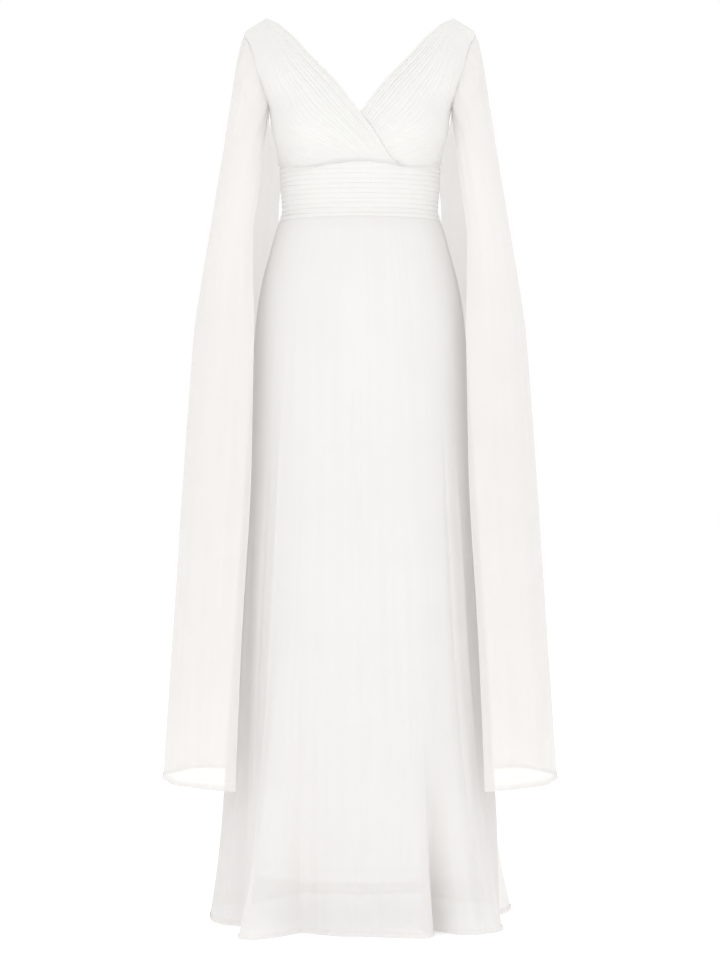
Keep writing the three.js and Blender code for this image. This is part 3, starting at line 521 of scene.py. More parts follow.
def plate(name, outlines, thickness, bevel, material):
    """A flat plate with bevelled edges: its outline first, then the holes in it."""
    shape = bpy.data.curves.new(name, "CURVE")
    shape.dimensions = "2D"
    shape.fill_mode = "BOTH"
    shape.extrude = thickness / 2 - bevel
    shape.bevel_depth = bevel
    shape.bevel_resolution = 2
    shape.offset = -bevel
    for outline in outlines:
        spline = shape.splines.new("BEZIER")
        spline.bezier_points.add(len(outline) - 1)
        corner = "VECTOR" if len(outline) < ROUND_FROM else "AUTO"
        for knot, (x, y) in zip(spline.bezier_points, outline):
            knot.co = (x, y, 0)
            knot.handle_left_type = knot.handle_right_type = corner
        spline.use_cyclic_u = True
        spline.resolution_u = 3
    source = placed(name + "_outline", shape)
    bpy.context.view_layer.update()
    mesh = bpy.data.meshes.new_from_object(source.evaluated_get(
        bpy.context.evaluated_depsgraph_get()))
    bpy.data.objects.remove(source)
    bpy.data.curves.remove(shape)
    mesh.name = name
    mesh.materials.clear()
    mesh.materials.append(material)
    return placed(name, mesh)


def upright(x, y, z):
    """Stands a flat plate up, facing the back of the dress, at a place."""
    return Matrix.Translation((x, y, z)) @ Matrix.Rotation(math.pi / 2, 4, "X")


def pull_pin():
    """Where the pull tab's pin is, from the frame's own joint."""
    joint = next(j for j in frame["joints"] if j["child"] == PULL_TAB)
    return tuple(joint["pos_m"])


# ------------------------------------------------------------------ finishes


def node(tree, kind, place, **values):
    made = tree.nodes.new(kind)
    made.location = place
    for key, value in values.items():
        if key in made.inputs:
            made.inputs[key].default_value = value
        else:
            setattr(made, key, value)
    return made


def wire(tree, *links):
    """Joins an output of one node to an input of the next, for each link."""
    for source, output, target, socket in links:
        tree.links.new(source.outputs[output], target.inputs[socket])


def new_material(name, **looks):
    """A material with one plain shader, and that shader's looks set."""
    material = bpy.data.materials.new(name)
    material.use_nodes = True
    shader = material.node_tree.nodes["Principled BSDF"]
    for look, value in looks.items():
        shader.inputs[look.replace("_", " ")].default_value = value
    return material, material.node_tree, shader


def tone_ramp(tree, place, low, high, ends=(0, 1)):
    ramp = node(tree, "ShaderNodeValToRGB", place)
    for element, position, shade in zip(ramp.color_ramp.elements, ends, (low, high)):
        element.position = position
        element.color = (*shade, 1)
    return ramp


# The cloths: slot, the settings with their colour and cover (none where they hide
# all), how rough they are, how much fuzz they have, and how far their tone streaks.
Cloth = namedtuple("Cloth", "slot colour cover roughness fuzz streak")
CLOTHS = {
    "backed chiffon": Cloth("chiffon", "chiffon_colour", None, 0.85, 0.15, 0.03),
    "skirt chiffon": Cloth("sheer_chiffon", "sheer_colour", "skirt_cover", 0.85, 0.15, 0.03),
    "double chiffon": Cloth("sheer_chiffon", "sheer_colour", "back_cover", 0.85, 0.15, 0.03),
    # The sleeves use the sheer chiffon darkened: painted shade for the gap inside them and for
    # their hems.
    "sleeve chiffon": Cloth("sheer_chiffon", "sleeve_colour", "sleeve_cover", 0.85, 0.15, 0.03),
    "lining satin": Cloth("lining", "lining_colour", None, 0.55, 0.05, 0.02),
    "sewing thread": Cloth("chiffon", "chiffon_colour", None, 0.6, 0.1, 0.05),
    "zip tape": Cloth("zip_coil", "chiffon_colour", None, 0.8, 0.1, 0.04),
}
Trim = namedtuple("Trim", "slot colour roughness metallic grain relief")
TRIMS = {
    "zip nylon": Trim("zip_coil", (0.86, 0.85, 0.81), 0.4, 0.0, 900.0, 0.1),
    "zip enamel": Trim("zip_metal", (0.88, 0.87, 0.83), 0.35, 0.1, 1500.0, 0.15),
}
TRIM_WEAR = 0.93  # the darkest tone of a trim's grain, as a share of its colour


def cloth_material(name, look, kind):
    """Woven cloth: warp and weft relief, a crepe's fine crinkle, and slight streaks of tone."""
    colour = np.array(getattr(look, kind.colour))
    material, tree, shader = new_material(
        name, Roughness=kind.roughness, Alpha=getattr(look, kind.cover) if kind.cover else 1.0,
        Specular_IOR_Level=0.25, Sheen_Weight=kind.fuzz, Sheen_Roughness=0.5)
    place = node(tree, "ShaderNodeTexCoord", (-1500, 0))
    stretch = node(tree, "ShaderNodeMapping", (-1300, 300), Scale=(70, 2.0, 1))
    streaks = node(tree, "ShaderNodeTexNoise", (-1100, 300), Scale=1.0, Detail=3.0)
    cloud = node(tree, "ShaderNodeTexNoise", (-1100, 80), Scale=9.0, Detail=2.0)
    tone = node(tree, "ShaderNodeMath", (-900, 250), operation="MULTIPLY")
    ramp = tone_ramp(tree, (-700, 250), colour * (1 - kind.streak), colour, (0.1, 0.45))
    wire(tree, (place, "UV", stretch, "Vector"), (stretch, "Vector", streaks, "Vector"),
         (place, "Object", cloud, "Vector"), (streaks, "Fac", tone, 0), (cloud, "Fac", tone, 1),
         (tone, 0, ramp, "Fac"), (ramp, "Color", shader, "Base Color"))

    warp, weft = (
        node(tree, "ShaderNodeTexWave", (-1100, drop), bands_direction=axis,
             Scale=0.5 / look.thread_pitch / math.pi, Distortion=0.6)
        for axis, drop in (("X", -150), ("Y", -350)))
    weave = node(tree, "ShaderNodeMath", (-900, -250), operation="MULTIPLY")
    crinkle = node(tree, "ShaderNodeTexNoise", (-900, -450), Scale=420.0, Detail=2.0)
    relief = node(tree, "ShaderNodeMath", (-700, -300), operation="ADD")
    bump = node(tree, "ShaderNodeBump", (-400, -300), Strength=look.weave_relief, Distance=0.00025)
    wire(tree, (place, "UV", warp, "Vector"), (place, "UV", weft, "Vector"),
         (place, "UV", crinkle, "Vector"), (warp, "Fac", weave, 0), (weft, "Fac", weave, 1),
         (weave, 0, relief, 0), (crinkle, "Fac", relief, 1), (relief, 0, bump, "Height"),
         (bump, "Normal", shader, "Normal"))
    return material


def trim_material(name, colour, roughness, metallic, grain, relief):
    """Moulded or cast trim: a fine grain in its surface and slight wear in its tone."""
    material, tree, shader = new_material(name, Roughness=roughness, Metallic=metallic)
    place = node(tree, "ShaderNodeTexCoord", (-1100, 0))
    speckle = node(tree, "ShaderNodeTexNoise", (-900, 0), Scale=grain, Detail=4.0)
    ramp = tone_ramp(tree, (-600, 150), np.array(colour) * TRIM_WEAR, colour)
    bump = node(tree, "ShaderNodeBump", (-400, -200), Strength=relief, Distance=0.0001)
    wire(tree, (place, "Object", speckle, "Vector"), (speckle, "Fac", ramp, "Fac"),
         (speckle, "Fac", bump, "Height"), (ramp, "Color", shader, "Base Color"),
         (bump, "Normal", shader, "Normal"))
    return material


def finish_of(context, kind):
    """The dress's materials, each made once from the colours and looks in its settings."""
    made = bpy.data.materials.get(kind)
    if made:
        return made
    if kind in TRIMS:
        return trim_material(kind, *TRIMS[kind][1:])
    return cloth_material(kind, context.scene.dress_look, CLOTHS[kind])


def settle(piece, body=DRESS, replaces=()):
    """The piece rides on its body and stands for its CAD nodes."""
    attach(piece, body)
    if replaces:
        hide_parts(*replaces)


def settled(context, name, parts, kind, replaces=()):
    """One object from several lists of vertices and faces, riding on the dress."""
    piece = mesh_object(name, *joined(parts), finish_of(context, kind))
    settle(piece, replaces=replaces)


# ------------------------------------------------------------------ bodice


def seam_point(angle):
    return body_point(angle, under_bust_z(angle))


wrap_foot_angle = front_angle(WRAP_FOOT_X, under_bust_z(20))
wrap_end_angle = front_angle(WRAP_END_X, under_bust_z(30))


def front_shoulder(v):
    """Shoulder seam of a front, from the neck to the armhole."""
    return body_point(SIDE, blend(0, armhole_z(1), np.asarray(v, float)))


def front_outer_edge(u):
    """Down the armhole and the side seam, then along the band's seam to the pleats' foot."""
    u = np.asarray(u, float)
    side_end = EDGE_ARMHOLE + EDGE_SIDE
    armhole = armhole_point(np.clip(1 - u / EDGE_ARMHOLE, 0, 1), True)
    side = body_point(SIDE, blend(UNDERARM_Z, under_bust_z(SIDE), (u - EDGE_ARMHOLE) / EDGE_SIDE))
    foot = seam_point(blend(SIDE, -wrap_foot_angle, (u - side_end) / (1 - side_end)))
    below = np.where((u <= side_end)[..., None], side, foot)
    return np.where((u <= EDGE_ARMHOLE)[..., None], armhole, below)


def rounded_edge(u):
    """The outer edge with its corners rounded, for the pleats inside it."""
    u = np.asarray(u, float)
    reach = np.minimum(np.minimum(EDGE_ROUNDING, u), 1 - u)
    return np.mean([front_outer_edge(u + reach * k) for k in np.linspace(-1, 1, 9)], axis=0)


def front_sheet(u, v):
    """The front from the wearer's left: u along its pleats, v across them."""
    neck = smooth_line([
        front_shoulder(0.0),
        *[body_point(front_angle(-p.x, p.z), p.z) for p in FRONT_NECK],
        seam_point(-wrap_end_angle)])
    wrap = smooth_line(seam_point(np.linspace(-wrap_end_angle, -wrap_foot_angle, 7)))
    rounded, true = (sheet_between(neck, edge, front_shoulder, wrap)(u, v)
                     for edge in (rounded_edge, front_outer_edge))
    return blend(rounded, true, ease((v - EDGE_FOLLOWED) / (1 - EDGE_FOLLOWED))[..., None])


def angle_round(points, half):
    """Angles round the dress for points near its front or its back half."""
    z = points[..., 2]
    across, forward = points[..., 0] / girth["side"](z), -points[..., 1] / girth[half](z)
    return np.degrees(np.arctan2(across, forward))


def on_front(points):
    """Angle and height on the dress's own surface for points near it."""
    angle = angle_round(points, "front")
    return angle, np.maximum(points[..., 2], under_bust_z(angle))


neck_edge_x = column([*FRONT_NECK, NeckPoint(WRAP_END_X, -0.2625)], "x")


def wrap_sink(x, z):
    """How far the under front lies behind the over front."""
    return WRAP_SINK * ease((neck_edge_x(z) + WRAP_MARGIN + WRAP_BLEND - x) / WRAP_BLEND)


def pleat_lines(count):
    """Line number, lift and pleat number of each row across a run of knife pleats."""
    rows = [(pleat + point.place, point.lift, pleat)
            for pleat in range(count) for point in PLEAT_SHAPE]
    rows.append((count, 0.1, count - 1))
    return (np.array(column_of)[:, None] for column_of in zip(*rows))


def bodice_front(is_over, sizes):
    """Grid of points through one pleated front, its foot turned in over the band."""
    count = PLEATS_PER_FRONT
    line, lift, pleat = pleat_lines(count)
    u = np.linspace(0, 1, FRONT_COLUMNS)[None]
    inside = np.clip(np.minimum(line, count - line), 0, 1)
    ends = ease(np.minimum(u, 1 - u) * PLEAT_ENDS)
    place = line + sizes.pleat_wander * uneven(line, 1.1 * u) * inside * ends
    u, v = np.broadcast_arrays(u, np.clip(place / count, 0, 1) ** PLEAT_SPREAD)
    sheet = front_sheet(u, v)
    angle, z = on_front(sheet)
    above_seam = z - under_bust_z(angle)
    points = blend(body_point(angle, z), sheet, ease(1 + z / SHOULDER_TOP)[..., None])
    out = body_normal(angle, z, 1 - ease(above_seam / LEVEL_HEIGHT))
    beside_armhole = 1 - ease((u - EDGE_ARMHOLE) / ARMHOLE_FADE)
    flattened = blend(1, ease((1 - v) * count / FLAT_PLEATS), beside_armhole)
    stretched = 1 - sizes.cup_smoothing * cup_rise(points[..., 0], z) / CUP.height
    half = 0.5 / count
    width = np.linalg.norm(front_sheet(u, v + half) - front_sheet(u, v - half), axis=-1)
    stretched = stretched * np.clip(width / sizes.full_width, 0, 1)
    rise = (sizes.pleat_rise * blend(END_RISE, 1, ends) * flattened * stretched
            * (1 + RISE_VARIES * uneven(pleat, 0.8 * u + 0.4)))
    lap = BODICE_LAP * ease(1 - above_seam / LAP_HEIGHT)
    sink = 0 if is_over else wrap_sink(points[..., 0], z)
    points = points + out * (lift * rise + lap - sink)[..., None]
    turned = out * (lap + EDGE_TURNED)[..., None]
    points = np.concatenate([points, points[-1:] - turned[-1:]])
    edge = np.concatenate([turned, turned[-1:]])[:, -1:]
    points = np.concatenate([points, points[:, -1:] - edge], axis=1)
    points = neck_turned(points, sizes.neck_turn)
    return mirrored(points) if is_over else points


def back_outer_edge(v):
    """Outer edge of a back: down the shoulder, round the armhole, down the side."""
    shoulder_end, armhole_end = BACK_SHOULDER_END, BACK_ARMHOLE_END
    v = np.asarray(v, float)
    shoulder_z = blend(0, armhole_z(1), v / shoulder_end)
    side_z = blend(UNDERARM_Z, BACK_BAND_TOP_Z, (v - armhole_end) / (1 - armhole_end))
    edge = body_point(SIDE + JUST_BEHIND, np.where(v <= shoulder_end, shoulder_z, side_z))
    at = np.clip((armhole_end - v) / (armhole_end - shoulder_end), 0, 1)
    on_armhole = (v > shoulder_end) & (v <= armhole_end)
    return np.where(on_armhole[..., None], armhole_point(at, False), edge)


def bodice_back(sizes, is_right):
    """Grid of points through one plain back, under the V neck."""
    shoulder_x = girth["side"](0.0)

    def neck_point(t):
        z = BACK_NECK_Z * t
        return body_point(CENTRE_BACK - front_angle(shoulder_x * (1 - t), z), z)

    neck = smooth_line([back_outer_edge(0.0), *map(neck_point, np.linspace(0.12, 0.9, 7)),
                        body_point(CENTRE_BACK, BACK_NECK_Z)])

    def foot(u):
        return body_point(blend(SIDE, CENTRE_BACK, np.asarray(u, float)), BACK_BAND_TOP_Z)

    def middle(v):
        return body_point(CENTRE_BACK, blend(BACK_NECK_Z, BACK_BAND_TOP_Z, np.asarray(v, float)))

    flat = sheet_between(neck, foot, back_outer_edge, middle)(
        np.linspace(0, 1, BACK_COLUMNS)[None],
        np.linspace(0, 1, BACK_ROWS)[:, None] ** BACK_SPREAD)
    angle = np.clip(angle_round(flat, "back"), SIDE, CENTRE_BACK)
    points = neck_turned(body_point(angle, flat[..., 2]), sizes.neck_turn)
    return mirrored(points) if is_right else points


# ------------------------------------------------------------------ waistband


def waistband(start, end, columns, sizes):
    """Grid of points through a band piece with level knife pleats."""
    count = BAND_PLEATS
    line, lift, pleat = pleat_lines(count)
    angle = np.linspace(start, end, columns)[None]
    is_front = abs(start) <= SIDE and abs(end) <= SIDE
    inside = np.clip(np.minimum(line, count - line), 0, 1)
    v = np.clip((line + sizes.pleat_wander * uneven(line, angle / 70) * inside) / count, 0, 1)
    level = blend(BACK_BAND_TOP_Z, WAIST_SEAM_Z - SEAM_TUCK, v)
    top = under_bust_z(angle) if is_front else BACK_BAND_TOP_Z
    below = top + SEAM_TUCK - level
    z = np.where(below > 0, level, top + SEAM_TUCK - below * BEHIND_SEAM)
    rise = sizes.pleat_rise * (1 + BAND_RISE_VARIES * uneven(pleat, angle / 60))
    rise = rise * ease(below / BAND_FADE) * ease((z - WAIST_SEAM_Z) / BAND_FOOT_FADE)
    z, wide = np.broadcast_arrays(z, angle)
    return body_point(wide, z) + body_normal(wide, z, 1.0) * (lift * rise)[..., None]


# ------------------------------------------------------------------ skirt
fold_push_at_hem = column(SKIRT_FOLDS, "push", "angle")
fold_start = column(SKIRT_FOLDS, "start", "angle")


def skirt_push(angle, z, crease_share):
    """How far the overskirt's folds and creases push the cloth out at a place."""
    start = fold_start(angle)
    grown = np.maximum(0, (start - z) / (start - SKIRT_HEM_Z))
    push = fold_push_at_hem(angle) * grown ** FOLD_GROWTH
    for crease in SKIRT_CREASES:
        faded = ease((crease.start - z) / CREASE_FADE)
        push = push + crease_share * crease.depth * faded * np.exp(
            -((angle - crease.at) / crease.width) ** 2)
    return push


def no_push(angle, z):
    return 0.0 * angle


def skirt_panel(start, end, columns, hem_z, size, push, hem_turn):
    """Grid of points down a skirt panel, with its foot hem turned."""
    angle = np.linspace(start, end, columns)[None]
    z = close_rows(WAIST_SEAM_Z + SEAM_TUCK, hem_z + HEM_ROLL, SKIRT_ROWS, hem_turn)[:, None]
    angle, z = np.broadcast_arrays(angle, z)
    return turned_row(body_point(angle, z, push(angle, z), size), hem_turn)


# ------------------------------------------------------------------ sleeves
sleeve = {name: column(SLEEVE, name) for name in SleeveRing._fields if name != "z"}


def sleeve_hang(turn_share, z):
    """Where the hanging sleeve lies in plan."""
    is_front = turn_share < 0.5
    end_x = np.where(is_front, sleeve["edge_x"](z), sleeve["back_x"](z))
    reach = np.where(is_front, -sleeve["front_y"](z), sleeve["back_y"](z))
    full_turn = np.radians(np.where(is_front, sleeve["front_turn"](z), sleeve["back_turn"](z)))
    turn = np.abs(turn_share - 0.5) * 2 * full_turn
    radius = (sleeve["fold_x"](z) - end_x) / (1 - np.cos(full_turn))
    return sleeve["fold_x"](z) - radius * (1 - np.cos(turn)), reach * np.sin(turn)


def sleeve_plan(turn_share, drop):
    is_front = turn_share <= 0.5
    at = 1 - np.abs(turn_share - 0.5) * 2
    seam = armhole_point(np.clip(at, 0, 1), is_front)
    seam_x = seam[..., 0] + blend(SLEEVE_STEP_UNDERARM, SLEEVE_STEP_SHOULDER, ease(at))
    hem_z = SLEEVE_HEM_Z - SLEEVE_HEM_DIP * (1 - at) ** 2
    z = blend(seam[..., 2], hem_z, drop)
    hang_x, hang_y = sleeve_hang(turn_share, z)
    left = ease((seam[..., 2] - z) / blend(SLEEVE_LEAVES_UNDERARM, SLEEVE_LEAVES_SHOULDER, at))
    return np.stack([blend(seam_x, hang_x, left), blend(seam[..., 1], hang_y, left), z], -1)


def sleeve_grid(sizes, is_right):
    """Grid of points through a cape sleeve: round the arm, and down from the armhole."""
    length = armhole_z(1) - SLEEVE_HEM_Z
    turn_share = np.linspace(0, 1, SLEEVE_COLUMNS)[None]
    drop = close_rows(0, length, SLEEVE_ROWS, sizes.hem_turn)[:, None] / length
    turn_share, drop = np.broadcast_arrays(turn_share, drop)
    points = sleeve_plan(turn_share, drop)
    inside, below = np.clip(turn_share, 0.01, 0.99), np.maximum(drop, 0.004)
    normal = normal_of(sleeve_plan, inside, below, 0.008, 0.004)
    fold = np.zeros_like(drop)
    for soft in SLEEVE_FOLDS:
        grown = np.clip((soft.start - points[..., 2]) / (soft.start - SLEEVE_HEM_Z), 0, 1)
        fold += soft.depth * grown * np.exp(-((turn_share - soft.at) / soft.width) ** 2)
    below_seam = drop * length
    gathers = np.cos(2 * np.pi * sizes.gathers * turn_share + 1.5 * uneven(3, 3 * turn_share))
    gathered = ease(below_seam / GATHER_START) * np.exp(-below_seam / GATHER_LENGTH)
    fold += sizes.gather_depth * gathers * gathered
    points = points + normal * fold[..., None]
    at = 1 - np.abs(turn_share[:1] - 0.5) * 2
    seam_allowance = armhole_point(at, turn_share[:1] <= 0.5) - np.array([ARMHOLE_TUCK, 0, 0])
    points = turned_row(np.concatenate([seam_allowance, points]), sizes.hem_turn)
    return mirrored(points) if is_right else points


# ------------------------------------------------------------------ settings


def number(name, description, default, **limits):
    return bpy.props.FloatProperty(
        name=name, description=description, default=default, **limits)


def length(name, description, default, low=0.0, high=1.0):
    return number(name, description, default, min=low, max=high, precision=5,
                  subtype="DISTANCE", unit="LENGTH")


def share(name, description, default, high=1.0):
    return number(name, description, default, min=0.0, max=high, subtype="FACTOR")


def power(name, description, default):
    return number(name, description, default, min=0, unit="POWER")


def brightness(name, description, default):
    return number(name, description, default, min=0, subtype="NONE")


def colour(name, description, default):
    return bpy.props.FloatVectorProperty(
        name=name, description=description, default=default, min=0, max=1, size=3,
        subtype="COLOR")


class DressLook(bpy.types.PropertyGroup):
    chiffon_colour: colour(
        "Chiffon", "Colour of the backed chiffon and its thread", (0.856, 0.849, 0.83))
    sheer_colour: colour(
        "Sheer chiffon", "Colour of a single layer of chiffon", (0.965, 0.945, 0.926))
    # A darker copy of the sheer chiffon: painted shade for the gap inside the sleeves and for their
    # hems.
    sleeve_colour: colour("Sleeve chiffon", "Colour of the sleeves' chiffon", (0.92, 0.898, 0.874))
    lining_colour: colour("Lining", "Colour of the skirt's lining", (0.985, 0.983, 0.975))
    skirt_cover: share("Skirt cover", "How much the overskirt's chiffon hides", 0.68)
    back_cover: share("Back cover", "How much the two layers of the overskirt's back hide", 0.88)
    sleeve_cover: share("Sleeve cover", "How much the sleeves' chiffon hides", 0.66)
    thread_pitch: length("Thread pitch", "Distance between woven threads", 0.00045, 0.0001, 0.005)
    weave_relief: share("Weave relief", "Strength of the woven relief", 0.35)


class BodiceSizes(bpy.types.PropertyGroup):
    pleat_rise: length("Pleat rise", "Height of a pleat's crest over its backing", 0.0010)
    pleat_wander: share("Pleat wander", "How far a pleat line strays, as a share of a pleat", 0.12)
    full_width: length("Full width", "Width from which a pleat stands at its full height", 0.0050)
    cup_smoothing: share("Cup smoothing", "How much the pleats flatten over the bust cups", 0.6)
    neck_turn: length("Neck turn", "Depth of the fold along the neck edge", 0.004)


class WaistbandSizes(bpy.types.PropertyGroup):
    pleat_rise: length("Pleat rise", "Height of a pleat's crest over its backing", 0.0010)
    pleat_wander: share("Pleat wander", "How far a pleat line strays, as a share of a pleat", 0.06)


class SkirtSizes(bpy.types.PropertyGroup):
    hem_turn: length("Hem turn", "Depth of the overskirt's turned hem", 0.0065)
    crease_share: share("Creases", "Strength of the fine creases between the folds", 1.0, 2.0)
    lining_hem_turn: length("Lining hem turn", "Depth of the lining's turned hem", 0.019)


class SleeveSizes(bpy.types.PropertyGroup):
    hem_turn: length("Hem turn", "Depth of the sleeve's turned hem", 0.0065)
    gathers: bpy.props.IntProperty(
        name="Gathers", description="Soft gathers round the sleeve's head", default=11,
        min=0, max=40, subtype="UNSIGNED")
    gather_depth: length("Gather depth", "Depth of those gathers below the seam", 0.0011)


class SewingSizes(bpy.types.PropertyGroup):
    stitch: length("Stitch", "Length of one machine stitch", 0.0022, 0.0005, 0.01)
    gap: length("Gap", "Gap between two stitches", 0.0006, 0.0002, 0.01)
    thread: length("Thread", "Thickness of the thread", 0.0003, 0.0001, 0.002)
    welt: length("Seam welt", "Half width of the ridge that a pressed seam shows", 0.0009)


class ZipSizes(bpy.types.PropertyGroup):
    coil_pitch: length("Coil pitch", "Distance between two turns of the coil", 0.0013, 0.0005, 0.01)
    coil_reach: length("Coil reach", "Half width of the closed coil", 0.0016)
    pull_width: length("Pull width", "Widest part of the pull tab", 0.0040)
    pull_length: length("Pull length", "Length of the pull tab below its pin", 0.0190)


class StageSettings(bpy.types.PropertyGroup):
    floor_gap: length("Floor gap", "How far the hem hangs above the floor", 0.0002)
    front_light: power("Front light", "Power of each front softbox", 22.0)
    top_light: power("Top light", "Power of the overhead softbox", 5.0)
    room_light: brightness("Room light", "Brightness of the room", 0.76)
    floor_glow: brightness("Floor glow", "Light from the floor itself", 0.24)
    backdrop_light: brightness("Backdrop light", "Brightness of the white behind the dress", 1.0)


# ------------------------------------------------------------------ operators


class DRESS_OT_bodice(bpy.types.Operator):
    """Make the two pleated fronts that cross over and the two plain backs"""
    bl_idname = "dress.bodice"
    bl_label = "Bodice"
    bl_options = {"REGISTER", "UNDO"}

    def execute(self, context):
        sizes = context.scene.dress_bodice
        chiffon = finish_of(context, "backed chiffon")
        for word, is_over in (("over", True), ("under", False)):
            piece = cloth(f"front_{word}", bodice_front(is_over, sizes), chiffon)
            settle(piece, replaces=[f"bodice_front_{word}"])
        for word, is_right in (("left", False), ("right", True)):
            piece = cloth(f"back_{word}", bodice_back(sizes, is_right), chiffon)
            settle(piece, replaces=[f"bodice_back_{word}"])
        return {"FINISHED"}


class DRESS_OT_waistband(bpy.types.Operator):
    """Make the pleated waistband's front and its two backs"""
    bl_idname = "dress.waistband"
    bl_label = "Waistband"
    bl_options = {"REGISTER", "UNDO"}

    def execute(self, context):
        sizes = context.scene.dress_waistband
        chiffon = finish_of(context, "backed chiffon")
        for word, start, end in ROUND:
            is_front = word == "front"
            columns = BAND_FRONT_COLUMNS if is_front else BAND_BACK_COLUMNS
            piece = cloth(f"band_{word}", waistband(start, end, columns, sizes), chiffon)
            settle(piece, replaces=[f"waistband_{word}"])
        return {"FINISHED"}


class DRESS_OT_skirt(bpy.types.Operator):
    """Make the sheer overskirt and the shorter lining inside it"""
    bl_idname = "dress.skirt"
    bl_label = "Skirt"
    bl_options = {"REGISTER", "UNDO"}

    def execute(self, context):
        sizes = context.scene.dress_skirt

        def folds(angle, z):
            return skirt_push(angle, z, sizes.crease_share)

        for word, start, end in ROUND:
            is_front = word == "front"
            columns = SKIRT_FRONT_COLUMNS if is_front else SKIRT_BACK_COLUMNS
            grid = skirt_panel(start, end, columns, SKIRT_HEM_Z, girth, folds, sizes.hem_turn)
            kind = "skirt chiffon" if is_front else "double chiffon"
            piece = cloth(f"overskirt_{word}", grid, finish_of(context, kind))
            settle(piece, replaces=[f"skirt_{word}"])
        for word, start, end in ROUND:
            is_front = word == "front"
            columns = (SKIRT_FRONT_COLUMNS if is_front else SKIRT_BACK_COLUMNS) // 2
            grid = skirt_panel(start, end, columns, LINING_HEM_Z, lining_girth, no_push,
                               sizes.lining_hem_turn)
            piece = cloth(f"underskirt_{word}", grid, finish_of(context, "lining satin"))
            settle(piece, replaces=[f"lining_{word}"])
        return {"FINISHED"}


class DRESS_OT_sleeves(bpy.types.Operator):
    """Make the two open cape sleeves"""
    bl_idname = "dress.sleeves"
    bl_label = "Sleeves"
    bl_options = {"REGISTER", "UNDO"}

    def execute(self, context):
        sizes = context.scene.dress_sleeves
        sheer = finish_of(context, "sleeve chiffon")
        for word, is_right, bodice in (("left", False, "under"), ("right", True, "over")):
            piece = cloth(f"cape_{word}", sleeve_grid(sizes, is_right), sheer)
            settle(piece, replaces=[f"sleeve_{word}"])
        return {"FINISHED"}


class DRESS_OT_zip(bpy.types.Operator):
    """Make the concealed zip: its tapes and coil, the slider and the pull tab"""
    bl_idname = "dress.zip"
    bl_label = "Zip"
    bl_options = {"REGISTER", "UNDO"}

    def execute(self, context):
        sizes = context.scene.dress_zip
        low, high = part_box("zip_chain")
        z = np.linspace(high.z, low.z, TAPE_ROWS)[:, None]
        tapes = []
        for sign in (-1, 1):
            x = sign * np.linspace(sizes.coil_reach * 0.6, high.x, 5)[None]
            grid = np.stack(np.broadcast_arrays(x, girth["back"](z) - ZIP_BEHIND, z), -1)
            tapes.append((grid.reshape(-1, 3), grid_faces(*grid.shape[:2])))
        settled(context, "zip_tapes", tapes, "zip tape", ["zip_chain"])

        turns = np.arange(high.z - COIL_END, low.z + COIL_END, -sizes.coil_pitch)
        loops = []
        for k, turn_z in enumerate(turns):
            x = (1 if k % 2 else -1) * sizes.coil_reach * np.array([-0.35, 0.1, 0.6, 0.95, 1.0])
            lift = np.array([0.0, 0.00045, 0.0005, 0.0002, -0.0003])
            y = girth["back"](turn_z) - COIL_BEHIND - lift
            loops.append(tube(np.stack([x, y, np.full(5, turn_z)], -1),
                              sizes.coil_pitch * 0.33, sides=6))
        settled(context, "zip_coil_turns", loops, "zip nylon")

        self.slider(context)
        self.pull_tab(context, sizes)
        return {"FINISHED"}

    def slider(self, context):
        low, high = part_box("zip_slider")
        middle_z, half = (low.z + high.z) / 2, high.x
        top, foot = high.z - middle_z, low.z - middle_z
        outline = [(-half, top * 0.7), (-half * 0.8, top), (half * 0.8, top), (half, top * 0.7),
                   (half * 0.95, top * 0.1), (half * 0.62, foot), (-half * 0.62, foot),
                   (-half * 0.95, top * 0.1)]
        body = plate("zip_slider_body", [outline], high.y - low.y, SLIDER_BEVEL,
                     finish_of(context, "zip enamel"))
        body.data.transform(upright(0, (low.y + high.y) / 2, middle_z))
        settle(body, replaces=["zip_slider"])
        pin = pull_pin()
        turn = np.linspace(0, math.pi, 15)
        y = high.y - BRIDGE_ROOT + (pin[1] + BRIDGE_REACH - high.y) * np.sin(turn) ** 0.7
        z = pin[2] + BRIDGE_HALF * np.cos(turn)
        bridge = tube(np.stack([0 * turn, y, z], -1), BRIDGE_RADIUS, sides=10)
        settled(context, "zip_slider_bridge", [bridge], "zip enamel")

    def pull_tab(self, context, sizes):
        pin = pull_pin()
        half, reach = sizes.pull_width / 2, sizes.pull_length
        low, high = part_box("zip_pull")
        thickness = high.y - low.y
        outline = [(-half * 0.8, 0.0002), (-half * 0.6, 0.00055), (half * 0.6, 0.00055),
                   (half * 0.8, 0.0002), (half * 0.8, -reach * 0.26), (half * 0.55, -reach * 0.42),
                   (half * 0.8, -reach * 0.66), (half, -reach * 0.84), (half * 0.7, -reach * 0.97),
                   (0, -reach), (-half * 0.7, -reach * 0.97), (-half, -reach * 0.84),
                   (-half * 0.8, -reach * 0.66), (-half * 0.55, -reach * 0.42),
                   (-half * 0.8, -reach * 0.26)]
        eye = [(-half * 0.42, -0.0006), (half * 0.42, -0.0006), (half * 0.42, -reach * 0.17),
               (0, -reach * 0.2), (-half * 0.42, -reach * 0.17)]
        turn = np.linspace(0, 2 * math.pi, 12, endpoint=False)
        radius = half * 0.38
        hole = [(radius * math.cos(a), -reach * 0.84 + radius * math.sin(a)) for a in turn]
        tab = plate("zip_pull_plate", [outline, eye, hole], thickness, PULL_BEVEL,
                    finish_of(context, "zip enamel"))
        tab.data.transform(upright(*pin))
        settle(tab, body=PULL_TAB, replaces=["zip_pull"])


